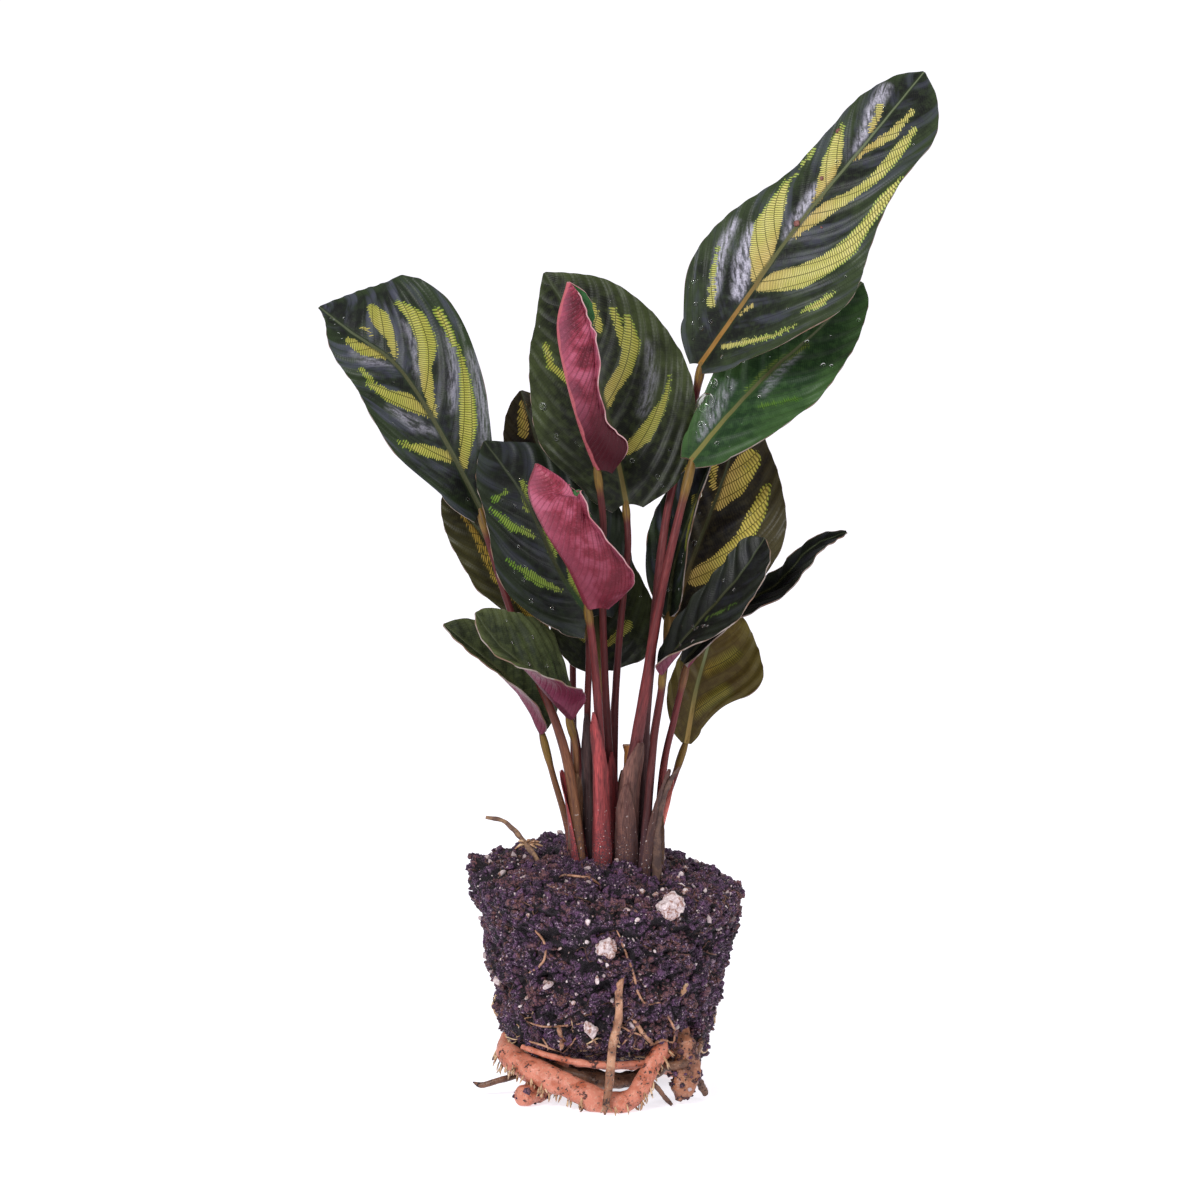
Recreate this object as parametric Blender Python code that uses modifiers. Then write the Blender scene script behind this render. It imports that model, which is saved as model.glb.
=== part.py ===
"""A young calathea lifted out of its pot: seventeen leaves on their stems, standing on a bare root ball.

The design sizes below are in millimetres, measured from the middle of the root ball's foot on the floor,
with +Z up and -Y towards the side that the plant is seen from. MM turns them into Blender's metres.
"""

import math

import bmesh
import bpy
from mathutils import Vector, noise

MM = 0.001

# Where the middle of the root ball stands, so that the whole plant is centred on the origin.
BALL_X = -6.2
BALL_Y = -2.6

# The root ball keeps the shape of the round nursery pot that it grew in.
BALL_TOP_RADIUS = 42.5
BALL_FOOT_RADIUS = 32.5
BALL_RIM_HEIGHT = 69.0
BALL_CROWN_HEIGHT = 76.0
BALL_FOOT_HEIGHT = 13.5
BALL_SIDES = 34
BALL_RINGS = 17
BALL_TILT = 0.085
BALL_TILT_BACK = 0.06
NOISE_SEED = 1795808869
CLOD_SIZE = 9.0
CLOD_DEPTH = 1.7
CRUMBLE_SIZE = 3.5
CRUMBLE_DEPTH = 0.55

# A leaf blade: its wall, the thicker rib at its base, and how finely it is divided.
BLADE_WALL = 0.7
RIB_WALL = 2.0
RIB_SPREAD = 2.2
BLADE_ROWS = 12
BLADE_COLUMNS = 6
ROLLED_COLUMNS = 10
STEM_END_HALF = 1.5
TIP_HALF = 0.8

# The stations along a blade where its half-widths are given. Its two ends have their own.
STATIONS = (0.0, 0.1, 0.25, 0.4, 0.55, 0.7, 0.85, 0.95, 1.0)

# Clearance between pieces that touch on the plant.
GAP = 0.3
HOLE_DEPTH = 7.0
STEM_SAMPLES = 5
ROOT_SAMPLES = 12

LEAF_GREEN = (0.025, 0.055, 0.022, 1.0)
YOUNG_RED = (0.20, 0.025, 0.045, 1.0)
OLD_OLIVE = (0.07, 0.06, 0.015, 1.0)
STEM_RED = (0.16, 0.035, 0.035, 1.0)
SHEATH_BROWN = (0.07, 0.035, 0.025, 1.0)
ROOT_ORANGE = (0.50, 0.20, 0.09, 1.0)
ROOT_BROWN = (0.24, 0.12, 0.06, 1.0)
PEAT_BLACK = (0.014, 0.009, 0.012, 1.0)
PERLITE_WHITE = (0.75, 0.70, 0.66, 1.0)


def leaf(rib, faces, left, right, **shape):
    """One leaf: its rib from base to tip, where its upper side faces, and its half-widths either side."""
    blade = {
        "rib": rib,
        "faces": faces,
        "left": left,
        "right": right,
        "fold_left": (14, 10, 6),
        "fold_right": (14, 10, 6),
        "curl_left": (0, 0, 0),
        "curl_right": (0, 0, 0),
        "wave": (0.0, 2.0, 0.0),
        "base_half": STEM_END_HALF,
        "lobe": 0.0,
        "columns": BLADE_COLUMNS,
        "colour": LEAF_GREEN,
    }
    blade.update(shape)
    return blade


# Faces holds two directions, at the base and at the tip. Folds and curls are degrees at base, middle and tip.
# A wave is its height in millimetres, how many waves the edge has, and where along the edge they start.
LEAVES = {
    "leaf_top_right": leaf(
        rib=((30, 8, 235), (45, 4, 257), (61, 4, 280), (83, 10, 306), (102, 22, 328)),
        faces=((-0.25, -1.0, 0.2), (-0.35, -1.0, 0.45)),
        left=(13, 22, 20, 14.5, 12.5, 10.5, 6.5),
        right=(13, 24, 31, 25, 19.5, 18, 9.5),
        fold_left=(34, 8, 12),
        fold_right=(30, 6, 8),
        wave=(2.2, 2.6, 0.1),
        base_half=3.0,
        lobe=1.5,
    ),
    "leaf_right_upper": leaf(
        rib=((27, -7, 206), (39, 0.6, 219.5), (53, 10, 233), (69, 19, 246), (83, 28, 260)),
        faces=((-0.1, -1.0, 0.5), (-0.2, -1.0, 0.6)),
        left=(7, 10.5, 13, 14, 13, 10, 5),
        right=(10.5, 16.5, 18, 19.5, 16, 10.5, 6),
        wave=(2.0, 2.3, 0.4),
        base_half=3.0,
        lobe=1.5,
    ),
    "leaf_centre_top": leaf(
        rib=((6.5, -1, 191), (3, 4, 208), (-2, 10, 226), (-10, 20, 247), (-20, 30, 263)),
        faces=((0.1, -1.0, 0.15), (0.0, -1.0, 0.3)),
        left=(13, 21, 24, 22, 17.5, 10, 4),
        right=(19, 26, 29, 28.5, 24, 15, 6),
        fold_left=(10, 8, 4),
        fold_right=(8, 10, 6),
        wave=(1.5, 1.6, 0.2),
        base_half=5.0,
        lobe=2.0,
    ),
    "leaf_young_upper": leaf(
        rib=((-2, -10, 204), (-7, -13, 216), (-12, -18, 233), (-15, -22, 250), (-12, -26, 264)),
        faces=((1.0, -0.2, 0.3), (1.0, -0.1, 0.1)),
        left=(12, 9.5, 10, 13, 13.5, 10, 5.5),
        right=(7, 7, 8, 10, 11, 11, 7),
        fold_left=(60, 50, 50),
        fold_right=(70, 66, 62),
        curl_left=(60, 100, 90),
        curl_right=(0, 10, 20),
        base_half=3.0,
        lobe=3.0,
        columns=ROLLED_COLUMNS,
        colour=YOUNG_RED,
    ),
    "leaf_left_top": leaf(
        rib=((-40, 5, 188), (-53, 7, 213), (-67, 12, 234), (-83, 20, 245), (-93, 28, 252)),
        faces=((0.2, -1.0, 0.2), (0.1, -1.0, 0.45)),
        left=(10, 17, 18, 15, 11, 4, 1.2),
        right=(10, 17, 23, 27, 24, 15.5, 6),
        fold_left=(16, 10, 10),
        fold_right=(14, 8, 8),
        wave=(1.8, 2.4, 0.3),
        base_half=4.0,
        lobe=2.0,
    ),
    "leaf_centre_left": leaf(
        rib=((-5, -6, 155), (-15, -6, 170), (-26, -3, 193), (-39, 3, 211)),
        faces=((0.3, -1.0, 0.25), (0.3, -1.0, 0.4)),
        left=(12, 17, 20, 18, 15, 11, 5),
        right=(20, 25, 27, 26, 22, 14, 5),
        fold_left=(12, 8, 6),
        fold_right=(4, 4, 4),
        wave=(1.2, 1.8, 0.0),
        base_half=6.0,
        lobe=4.0,
    ),
    "leaf_young_lower": leaf(
        rib=((-5, -20, 161), (-11, -26, 174), (-19, -31, 187), (-24, -35, 199), (-22, -37, 208)),
        faces=((0.9, -0.3, 0.5), (1.0, -0.3, 0.2)),
        left=(18, 18, 18, 19, 18, 14, 8),
        right=(12, 13, 14, 14, 13, 11, 7),
        fold_left=(60, 52, 50),
        fold_right=(72, 68, 64),
        curl_left=(60, 95, 100),
        curl_right=(0, 8, 16),
        base_half=5.0,
        lobe=3.0,
        columns=ROLLED_COLUMNS,
        colour=YOUNG_RED,
    ),
    "leaf_left_back": leaf(
        rib=((-19, 8, 150), (-29, 12, 165), (-41, 18, 180), (-52, 26, 193)),
        faces=((0.1, -1.0, 0.3), (0.1, -1.0, 0.5)),
        left=(7, 10.5, 13, 12, 10.5, 7.5, 4),
        right=(6, 10, 11, 11, 11, 8, 4),
        colour=OLD_OLIVE,
    ),
    "leaf_back": leaf(
        rib=((-12, 30, 170), (-20, 38, 198), (-28, 47, 223)),
        faces=((0.0, -1.0, 0.3), (0.0, -1.0, 0.5)),
        left=(7, 11, 13, 13, 11, 8, 4),
        right=(7, 11, 13, 13, 11, 8, 4),
    ),
    "leaf_centre_low": leaf(
        rib=((-2, 12, 135), (-3, 15, 148), (-5, 20, 164), (-7, 27, 184)),
        faces=((0.0, -1.0, 0.2), (0.0, -1.0, 0.4)),
        left=(10, 14, 15, 14, 12, 9, 4),
        right=(15, 19, 20, 18, 15, 11, 4),
        fold_left=(6, 6, 6),
        fold_right=(6, 6, 6),
        base_half=4.0,
    ),
    "leaf_right_back": leaf(
        rib=((21, 11, 150), (28, 16, 171), (38, 26, 196), (46, 38, 221)),
        faces=((0.0, -1.0, 0.3), (-0.1, -1.0, 0.4)),
        left=(7, 11, 13, 14, 13, 10, 4),
        right=(12, 20, 25, 25.5, 19, 10, 4),
        fold_left=(6, 6, 6),
        fold_right=(8, 8, 8),
        wave=(1.2, 1.8, 0.5),
    ),
    "leaf_right_folded": leaf(
        rib=((20, 7, 154), (22, 6, 170), (27, 9, 186), (34, 15, 204)),
        faces=((0.1, -1.0, 0.15), (0.1, -1.0, 0.3)),
        left=(5, 9, 11, 12, 11, 8, 4),
        right=(6, 9, 11, 11, 10, 7, 4),
        fold_left=(20, 16, 16),
        fold_right=(60, 80, 85),
        curl_right=(0, 10, 20),
    ),
    "leaf_right_dark": leaf(
        rib=((17, -12, 139), (29, -19, 155), (42, -24, 171), (50, -24, 183)),
        faces=((-0.6, -0.5, 0.5), (-0.7, -0.6, 0.3)),
        left=(5, 7, 7.5, 7.5, 7.5, 7, 5),
        right=(8, 13, 15, 15, 13, 10, 6),
        fold_left=(30, 20, 20),
        fold_right=(60, 10, 10),
    ),
    "leaf_right_curled": leaf(
        rib=((25, -4, 140), (39, -4, 156), (54, -6, 166.5), (67, -5, 175.5), (77, 0, 181.5)),
        faces=((-0.4, -0.7, 0.6), (-0.2, -0.5, 0.9)),
        left=(5, 6, 5, 4, 3, 2.5, 1.5),
        right=(8, 11, 12, 11, 8.5, 5, 2.5),
        fold_left=(50, 70, 80),
        fold_right=(40, 25, 20),
    ),
    "leaf_right_low": leaf(
        rib=((26, 8, 112), (29, 9, 129), (33, 13, 143), (37, 20, 157)),
        faces=((0.1, -1.0, 0.15), (0.1, -1.0, 0.3)),
        left=(6, 9, 9, 8, 7, 5, 2),
        right=(4, 9, 17, 20, 17, 12, 7),
        fold_left=(10, 6, 6),
        fold_right=(8, 8, 8),
        colour=OLD_OLIVE,
    ),
    "leaf_front_left": leaf(
        rib=((-11, -9, 124), (-17, -15, 131), (-25, -23, 141), (-34, -30, 150), (-41, -37, 161)),
        faces=((0.3, -0.5, 0.8), (0.3, -0.7, 0.6)),
        left=(8, 11, 11, 11, 10, 8, 5),
        right=(11, 18, 21, 19, 15, 10, 5),
        fold_left=(100, 50, 10),
        fold_right=(20, 8, 4),
    ),
    "leaf_low_left": leaf(
        rib=((-20, 2, 117), (-26, 0, 128), (-34, -2, 137), (-43, -4, 145), (-52, -7, 153)),
        faces=((0.3, -0.6, 0.7), (0.3, -0.7, 0.6)),
        left=(6, 9, 10, 9, 8, 6, 3),
        right=(8, 11, 12, 12, 10, 8, 4),
        fold_left=(70, 45, 35),
        fold_right=(30, 20, 16),
    ),
}


def stem(carries, foot, via, foot_radius, top_radius=1.2):
    """One leaf's stem: where it goes into the soil, and the points that it passes on its way up."""
    return {"carries": carries, "foot": foot, "via": via, "radii": (foot_radius, top_radius)}


STEMS = {
    "stem_top_right": stem(
        "leaf_top_right",
        (12.0, -0.8),
        ((12.5, -2, 116), (15, -4, 148), (17.5, -2, 174), (20, 4, 190), (23.5, 9, 204), (27.5, 11, 219)),
        2.0,
        1.4,
    ),
    "stem_right_upper": stem(
        "leaf_right_upper",
        (6.8, -3.5),
        ((8, -7, 103), (11, -10.5, 123), (16, -13, 155), (20, -12, 175)),
        3.3,
        1.4,
    ),
    "stem_centre_top": stem(
        "leaf_centre_top",
        (2.4, 5.0),
        ((2.5, 3, 114), (3.5, -1, 137), (5, -6, 157), (7, -6, 178)),
        1.8,
    ),
    "stem_young_upper": stem(
        "leaf_young_upper",
        (1.8, 0.3),
        ((1.3, -1, 102), (0, -4, 128), (-1, -8, 155), (-1, -10, 174), (-1, -11, 188)),
        1.8,
    ),
    "stem_left_top": stem(
        "leaf_left_top",
        (-8.6, -5.0),
        ((-11.5, -6.5, 104), (-16, -7, 121), (-23, -5, 138), (-30, -1, 155), (-36, 3, 173)),
        2.1,
        1.3,
    ),
    "stem_centre_left": stem(
        "leaf_centre_left", (-5.0, 0.5), ((-5.5, 0, 102), (-6, -2, 122), (-5.5, -4, 142)), 1.7
    ),
    "stem_young_lower": stem(
        "leaf_young_lower",
        (-1.3, -5.0),
        ((-1.5, -6, 96), (-2, -8, 116), (-3, -12, 133), (-4.5, -17, 150)),
        2.7,
        1.3,
    ),
    "stem_left_back": stem("leaf_left_back", (-5.5, 6.5), ((-9.5, 8, 112), (-15, 9, 132)), 1.6),
    "stem_back": stem("leaf_back", (-9.5, 9.0), ((-10.5, 16, 110), (-11, 26, 145)), 1.5),
    "stem_centre_low": stem("leaf_centre_low", (-1.0, 8.0), ((-1.5, 10, 112),), 1.6),
    "stem_right_back": stem("leaf_right_back", (10.5, 9.5), ((14, 10.5, 105), (18, 11, 130)), 1.8),
    "stem_right_folded": stem(
        "leaf_right_folded", (12.6, 4.2), ((15, 3, 110), (18.5, 4, 134)), 1.8
    ),
    "stem_right_dark": stem("leaf_right_dark", (12.2, -6.8), ((15, -7, 112), (17, -9, 127)), 1.8),
    "stem_right_curled": stem(
        "leaf_right_curled", (16.3, 1.2), ((18.5, 0.5, 105), (22, -2, 122)), 1.7
    ),
    "stem_right_low": stem("leaf_right_low", (15.5, 14.0), ((17.5, 13.5, 86), (22, 11, 100)), 1.5),
    "stem_front_left": stem(
        "leaf_front_left", (-9.8, 0.2), ((-9.8, -2, 98), (-9.8, -5, 112)), 1.6
    ),
    "stem_low_left": stem("leaf_low_left", (-11.2, 3.8), ((-13, 3.6, 88), (-17, 2.8, 102)), 1.6),
}

# Other pieces that stand in the soil: their feet, the points above, and their radii at each point.
CUT_STEM = {"foot": (6.8, 5.6), "via": ((7.0, 5.4, 92), (7.4, 5.0, 112)), "radii": (1.9, 1.9, 2.0, 1.8)}
DRY_BRACT = {
    "foot": (16.2, -7.4),
    "via": ((16.3, -7.6, 90), (19, -8, 100), (23.5, -8, 107)),
    "radii": (1.4, 1.5, 1.6, 1.2, 0.3),
}
TWIG = ((-39, 4, 88.5), (-33, 4, 87), (-28, 2, 82.5), (-23, -3, 77), (-19, -9, 71), (-17, -12, 66))
TWIG_RADII = (0.6, 0.8, 0.9, 0.9, 0.8, 0.8)

# Roots lie in grooves of the soil. Those whose lower side would pass through the floor are flat there.
ROOTS = {
    "root_front": (
        ((-33, -6, 19), (-32, -13, 15), (-27, -20, 12), (-20, -26, 10), (-12, -30, 7.5), (-3, -33, 3.6),
         (4, -34, 2.9), (9, -33, 5), (13, -30, 11), (17, -26, 18), (18, -22, 24)),
        (2.8, 3.8, 4.1, 4.1, 4.0, 3.9, 3.7, 3.3, 3.0, 2.8, 2.2),
        ROOT_ORANGE,
    ),
    "root_front_thin": (
        ((6, -36.5, 45), (4, -37.6, 41), (4, -36.6, 32), (2, -36.6, 22), (1, -38.2, 11), (0, -39.6, 5), (-0.5, -39.8, 0.5)),
        (0.5, 1.2, 1.3, 1.4, 1.3, 1.2, 1.0),
        ROOT_BROWN,
    ),
    "root_left": (
        ((-12, -11, 16), (-16, -15, 8), (-20, -19, 3.8), (-26, -25.5, 3.3), (-28, -27.5, 3.4)),
        (2.2, 2.6, 2.8, 3.6, 2.0),
        ROOT_ORANGE,
    ),
    "root_right": (
        ((19, -13, 26), (24, -17, 20), (26, -20, 13), (25, -22, 7), (23, -24, 1.2)),
        (2.0, 4.0, 4.8, 4.2, 3.0),
        ROOT_BROWN,
    ),
    "root_side": (
        ((-43, -12, 4.5), (-40, -13, 3.8), (-35, -13, 5.2), (-30, -12, 6.5), (-24, -9, 9), (-18, -6, 14)),
        (0.6, 0.9, 1.0, 1.0, 1.0, 0.9),
        ROOT_BROWN,
    ),
}
ROOT_BACK_RADIUS = 26.5
ROOT_BACK_HALF_WIDTH = 3.3
ROOT_BACK_ANGLES = (-8, 188)
ROOT_BACK_LIFT = 7.0

# The largest white grains of perlite: the middle of each and its radius.
PERLITE = {
    "perlite_large": ((21, -36.0, 67), 4.0),
    "perlite_front": ((0.5, -39.6, 55), 3.0),
    "perlite_low": ((-5, -35.2, 27), 2.3),
}

# Clods that stand proud of the ball: the middle of each, how far they stand out, and their spread.
CLODS = (
    ((-43, 5, 76), 6.0, 6.5),
    ((42, 0, 67), 4.0, 6.0),
    ((40, -4, 52), 2.5, 8.0),
    ((-42, -4, 64), 2.0, 5.0),
    ((-17, 30, 78), 4.5, 7.0),
    ((28, 26, 74), 2.5, 8.0),
)


def place(point):
    """A design point, in millimetres from the ball's middle, as a place in the scene."""
    return Vector((point[0] + BALL_X, point[1] + BALL_Y, point[2])) * MM


def along(values, share):
    """A smooth curve through evenly spaced values, read at a share from 0 to 1 of its length."""
    spans = len(values) - 1
    at = min(max(share, 0.0), 1.0) * spans
    first = min(int(at), spans - 1)
    near, far = values[first], values[first + 1]
    before = values[first - 1] if first else near * 2 - far
    after = values[first + 2] if first + 2 <= spans else far * 2 - near
    k = at - first
    bend = (before * 2 - near * 5 + far * 4 - after) * k * k
    bend += (near * 3 - before - far * 3 + after) * k * k * k
    return (near * 2 + (far - before) * k + bend) * 0.5


def between(values, share):
    """Three values at base, middle and tip, read in straight runs."""
    if share < 0.5:
        return values[0] + (values[1] - values[0]) * share * 2
    return values[1] + (values[2] - values[1]) * (share * 2 - 1)


def station_value(values, share):
    """A half-width at a share of the rib's length, smooth through the stations."""
    for first in range(len(STATIONS) - 1):
        if share <= STATIONS[first + 1]:
            break
    span = STATIONS[first + 1] - STATIONS[first]
    k = (share - STATIONS[first]) / span
    last = len(STATIONS) - 1

    def slope(i):
        low, high = max(i - 1, 0), min(i + 1, last)
        return (values[high] - values[low]) / (STATIONS[high] - STATIONS[low])

    near, far = values[first], values[first + 1]
    if first == 0:
        return near + (far - near) * math.sin(k * math.pi / 2)
    ease = k * k * (3 - 2 * k)
    lift = (k * (1 - k) ** 2 * slope(first) - k * k * (1 - k) * slope(first + 1)) * span
    return max(near + (far - near) * ease + lift, 0.3)


def rib_frame(blade, share):
    """The rib's point, its direction, the way to the right edge, and the way that the upper side faces."""
    rib = [Vector(point) for point in blade["rib"]]
    step = 0.01
    point = along(rib, share)
    ahead = (along(rib, min(share + step, 1.0)) - along(rib, max(share - step, 0.0))).normalized()
    faces = Vector(blade["faces"][0]).lerp(Vector(blade["faces"][1]), share)
    upper = (faces - ahead * faces.dot(ahead)).normalized()
    return point, ahead, ahead.cross(upper), upper


def blade_point(blade, share, across):
    """A point of the upper side: share runs from base to tip, across from -1 at the left edge to 1."""
    point, ahead, right, upper = rib_frame(blade, share)
    side = "left" if across < 0 else "right"
    q = abs(across)
    half = station_value((blade["base_half"], *blade[side], TIP_HALF), share)
    fold = math.radians(between(blade["fold_" + side], share))
    curl = math.radians(between(blade["curl_" + side], share))
    if abs(curl) < 0.01:
        out, up = q * half * math.cos(fold), q * half * math.sin(fold)
    else:
        out = half / curl * (math.sin(fold + curl * q) - math.sin(fold))
        up = half / curl * (math.cos(fold) - math.cos(fold + curl * q))
    height, count, start = blade["wave"]
    phase = start + (0.0 if across < 0 else 0.37)
    up += height * q * q * math.sin(math.tau * (count * share + phase)) * math.sin(math.pi * share)
    back = blade["lobe"] * q * q * max(0.0, 1 - share / 0.25) ** 2
    return point + right * math.copysign(out, across) + upper * up - ahead * back


def row_share(step):
    """Rows lie closer together towards the base and the tip, where the outline turns most."""
    return 0.4 * step + 0.3 * (1 - math.cos(math.pi * step))


def material(name, colour, roughness=0.5):
    found = bpy.data.materials.get(name)
    if found:
        return found
    made = bpy.data.materials.new(name)
    made.use_nodes = True
    shader = made.node_tree.nodes["Principled BSDF"]
    shader.inputs["Base Color"].default_value = colour
    shader.inputs["Roughness"].default_value = roughness
    shader.inputs["Metallic"].default_value = 0.0
    return made


def finish(piece, name, colour, roughness, collection):
    """Names a piece, gives it its own material and moves it into its collection."""
    piece.name = name
    piece.data.name = name
    piece.data.materials.clear()
    piece.data.materials.append(material(name + "_finish", colour, roughness))
    for holder in list(piece.users_collection):
        holder.objects.unlink(piece)
    collection.objects.link(piece)
    return piece


def as_cutter(piece, name, cutters):
    """Turns a mesh piece into a cutter that is neither rendered nor built."""
    piece.name = name
    for holder in list(piece.users_collection):
        holder.objects.unlink(piece)
    cutters.objects.link(piece)
    piece.hide_render = True
    piece.display_type = "WIRE"
    return piece


def build_blade(name, blade, plant):
    """A blade is a grid bent to the leaf's formula, split into triangles, and given its wall underneath."""
    columns = blade["columns"]
    bpy.ops.mesh.primitive_grid_add(x_subdivisions=columns, y_subdivisions=BLADE_ROWS, size=2.0)
    piece = bpy.context.object
    rib = piece.vertex_groups.new(name="rib")
    for vertex in piece.data.vertices:
        across, share = vertex.co.x, row_share((vertex.co.y + 1) / 2)
        side = "left" if across < 0 else "right"
        half = station_value((blade["base_half"], *blade[side], TIP_HALF), share)
        from_rib = abs(across) * half
        rib.add([vertex.index], math.exp(-((from_rib / RIB_SPREAD) ** 2)) * (1 - share) ** 1.5, "REPLACE")
        vertex.co = place(blade_point(blade, share, across))
    halves = piece.modifiers.new("triangles", "TRIANGULATE")
    halves.quad_method = "FIXED"
    wall = piece.modifiers.new("wall", "SOLIDIFY")
    wall.thickness = RIB_WALL * MM
    wall.offset = -1.0
    wall.vertex_group = "rib"
    wall.thickness_vertex_group = BLADE_WALL / RIB_WALL
    piece.data.shade_smooth()
    return finish(piece, name, blade["colour"], 0.35, plant)


def tube(points, radii, samples, sides=2):
    """A round tube along a smooth curve through the points, as a closed mesh."""
    curve = bpy.data.curves.new("route", "CURVE")
    curve.dimensions = "3D"
    curve.bevel_depth = MM
    curve.bevel_resolution = sides
    curve.use_fill_caps = True
    line = curve.splines.new("POLY")
    line.points.add(samples - 1)
    path = [Vector(point) for point in points]
    for i, dot in enumerate(line.points):
        share = i / (samples - 1)
        dot.co = (*place(along(path, share)), 1.0)
        dot.radius = max(along(list(radii), share), 0.2)
    guide = bpy.data.objects.new("route", curve)
    bpy.context.scene.collection.objects.link(guide)
    graph = bpy.context.evaluated_depsgraph_get()
    mesh = bpy.data.meshes.new_from_object(guide.evaluated_get(graph))
    welder = bmesh.new()
    welder.from_mesh(mesh)
    bmesh.ops.remove_doubles(welder, verts=welder.verts, dist=0.00001)
    welder.to_mesh(mesh)
    welder.free()
    piece = bpy.data.objects.new("tube", mesh)
    piece.matrix_world = guide.matrix_world
    bpy.context.scene.collection.objects.link(piece)
    bpy.data.objects.remove(guide)
    mesh.shade_smooth()
    return piece


def flatten_foot(piece):
    """Whatever would pass through the floor is cut away there, which leaves a flat foot."""
    knife = bmesh.new()
    knife.from_mesh(piece.data)
    parts = knife.verts[:] + knife.edges[:] + knife.faces[:]
    sliced = bmesh.ops.bisect_plane(
        knife, geom=parts, dist=0.00001, plane_co=(0, 0, 0), plane_no=(0, 0, 1), clear_inner=True
    )
    rim = [item for item in sliced["geom_cut"] if isinstance(item, bmesh.types.BMEdge)]
    if rim:
        bmesh.ops.edgenet_fill(knife, edges=rim)
        bmesh.ops.recalc_face_normals(knife, faces=knife.faces)
    knife.to_mesh(piece.data)
    knife.free()


def soil_height(x, y):
    """The height of the ball's top, which is highest in the middle and slopes down to the front right."""
    share = min(math.hypot(x, y) / BALL_TOP_RADIUS, 1.0)
    crown = BALL_CROWN_HEIGHT + (BALL_RIM_HEIGHT - BALL_CROWN_HEIGHT) * share**2
    return crown - BALL_TILT * x + BALL_TILT_BACK * y


def foot_height(y):
    """The height of the ball's underside: the front has crumbled away above its roots."""
    share = min(max((12 - y) / 40, 0.0), 1.0)
    return 5.5 + BALL_FOOT_HEIGHT * share * share * (3 - 2 * share)


def soil_profile(share):
    """The ball's outline from the middle of its foot to the middle of its top: (radius, level)."""
    corners = (
        (0.0, 0.0, 0.0),
        (0.18, BALL_FOOT_RADIUS - 2.5, 0.0),
        (0.24, BALL_FOOT_RADIUS, 0.05),
        (0.74, BALL_TOP_RADIUS, 0.95),
        (0.80, BALL_TOP_RADIUS - 2.5, 1.0),
        (1.0, 0.0, 1.0),
    )
    for low, high in zip(corners, corners[1:]):
        if share <= high[0]:
            break
    k = (share - low[0]) / (high[0] - low[0])
    return low[1] + (high[1] - low[1]) * k, low[2] + (high[2] - low[2]) * k


def build_soil(plant):
    """The root ball is a sphere's rings moved onto the ball's outline, then crumbled by seeded noise."""
    bpy.ops.mesh.primitive_uv_sphere_add(segments=BALL_SIDES, ring_count=BALL_RINGS, radius=1.0)
    piece = bpy.context.object
    noise.seed_set(NOISE_SEED)
    for vertex in piece.data.vertices:
        share = 1 - math.acos(min(max(vertex.co.z, -1.0), 1.0)) / math.pi
        turn = math.atan2(vertex.co.y, vertex.co.x)
        radius, level = soil_profile(share)
        x, y = radius * math.cos(turn), radius * math.sin(turn)
        low, high = foot_height(y), soil_height(x, y)
        point = Vector((x, y, low + (high - low) * level))
        for middle, height, spread in CLODS:
            away = (point - Vector(middle)).length / spread
            out = (Vector(middle) - Vector((0, 0, 45))).normalized()
            point += out * height * math.exp(-away * away)
        point += noise.noise_vector(point / CLOD_SIZE) * CLOD_DEPTH
        point += noise.noise_vector(point / CRUMBLE_SIZE) * CRUMBLE_DEPTH
        vertex.co = place(point)
    piece.data.shade_smooth()
    return finish(piece, "soil", PEAT_BLACK, 0.95, plant)


def cut(piece, cutter, name):
    hole = piece.modifiers.new(name, "BOOLEAN")
    hole.operation = "DIFFERENCE"
    hole.solver = "EXACT"
    hole.object = cutter


def build_grain(name, middle, radius, plant, grow=0.0):
    """A grain of perlite: a small ball with dents, its shape read from noise at its own place."""
    bpy.ops.mesh.primitive_ico_sphere_add(subdivisions=2, radius=1.0)
    piece = bpy.context.object
    for vertex in piece.data.vertices:
        way = vertex.co.normalized()
        dent = noise.noise(way * 1.3 + Vector(middle)) * 0.3
        vertex.co = place(Vector(middle) + way * (radius * (1 + dent) + grow))
    piece.data.shade_smooth()
    return finish(piece, name, PERLITE_WHITE, 0.8, plant)


def standing_route(foot, via):
    """A stem goes straight up through its hole and then along its own points."""
    level = soil_height(*foot)
    return [(*foot, level - HOLE_DEPTH), (*foot, level + 2), *via]


def build_standing(name, route, radii, samples, colour, soil, plant, cutters):
    """A piece that stands in the soil, in a hole of its own that is a little wider and deeper."""
    piece = tube(route, radii, samples)
    finish(piece, name, colour, 0.45, plant)
    x, y, level = route[0]
    hole = tube([(x, y, level - GAP), *route[1:]], [radius + GAP for radius in radii], samples)
    cut(soil, as_cutter(hole, name + "_hole", cutters), name)


def build_stem(name, plan, soil, plant, cutters):
    """A stem ends just below its leaf's base, in the middle of the rib's wall there."""
    blade = LEAVES[plan["carries"]]
    point, ahead, right, upper = rib_frame(blade, 0.0)
    end = point - upper * (RIB_WALL / 2) - ahead * (GAP + 0.5)
    route = standing_route(plan["foot"], plan["via"]) + [tuple(end)]
    low, high = plan["radii"]
    steps = len(route) - 1
    radii = [low + (high - low) * min(1.0, max(0.0, (i - 1) / (steps - 1))) for i in range(steps + 1)]
    build_standing(name, route, radii, STEM_SAMPLES + steps, STEM_RED, soil, plant, cutters)


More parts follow.
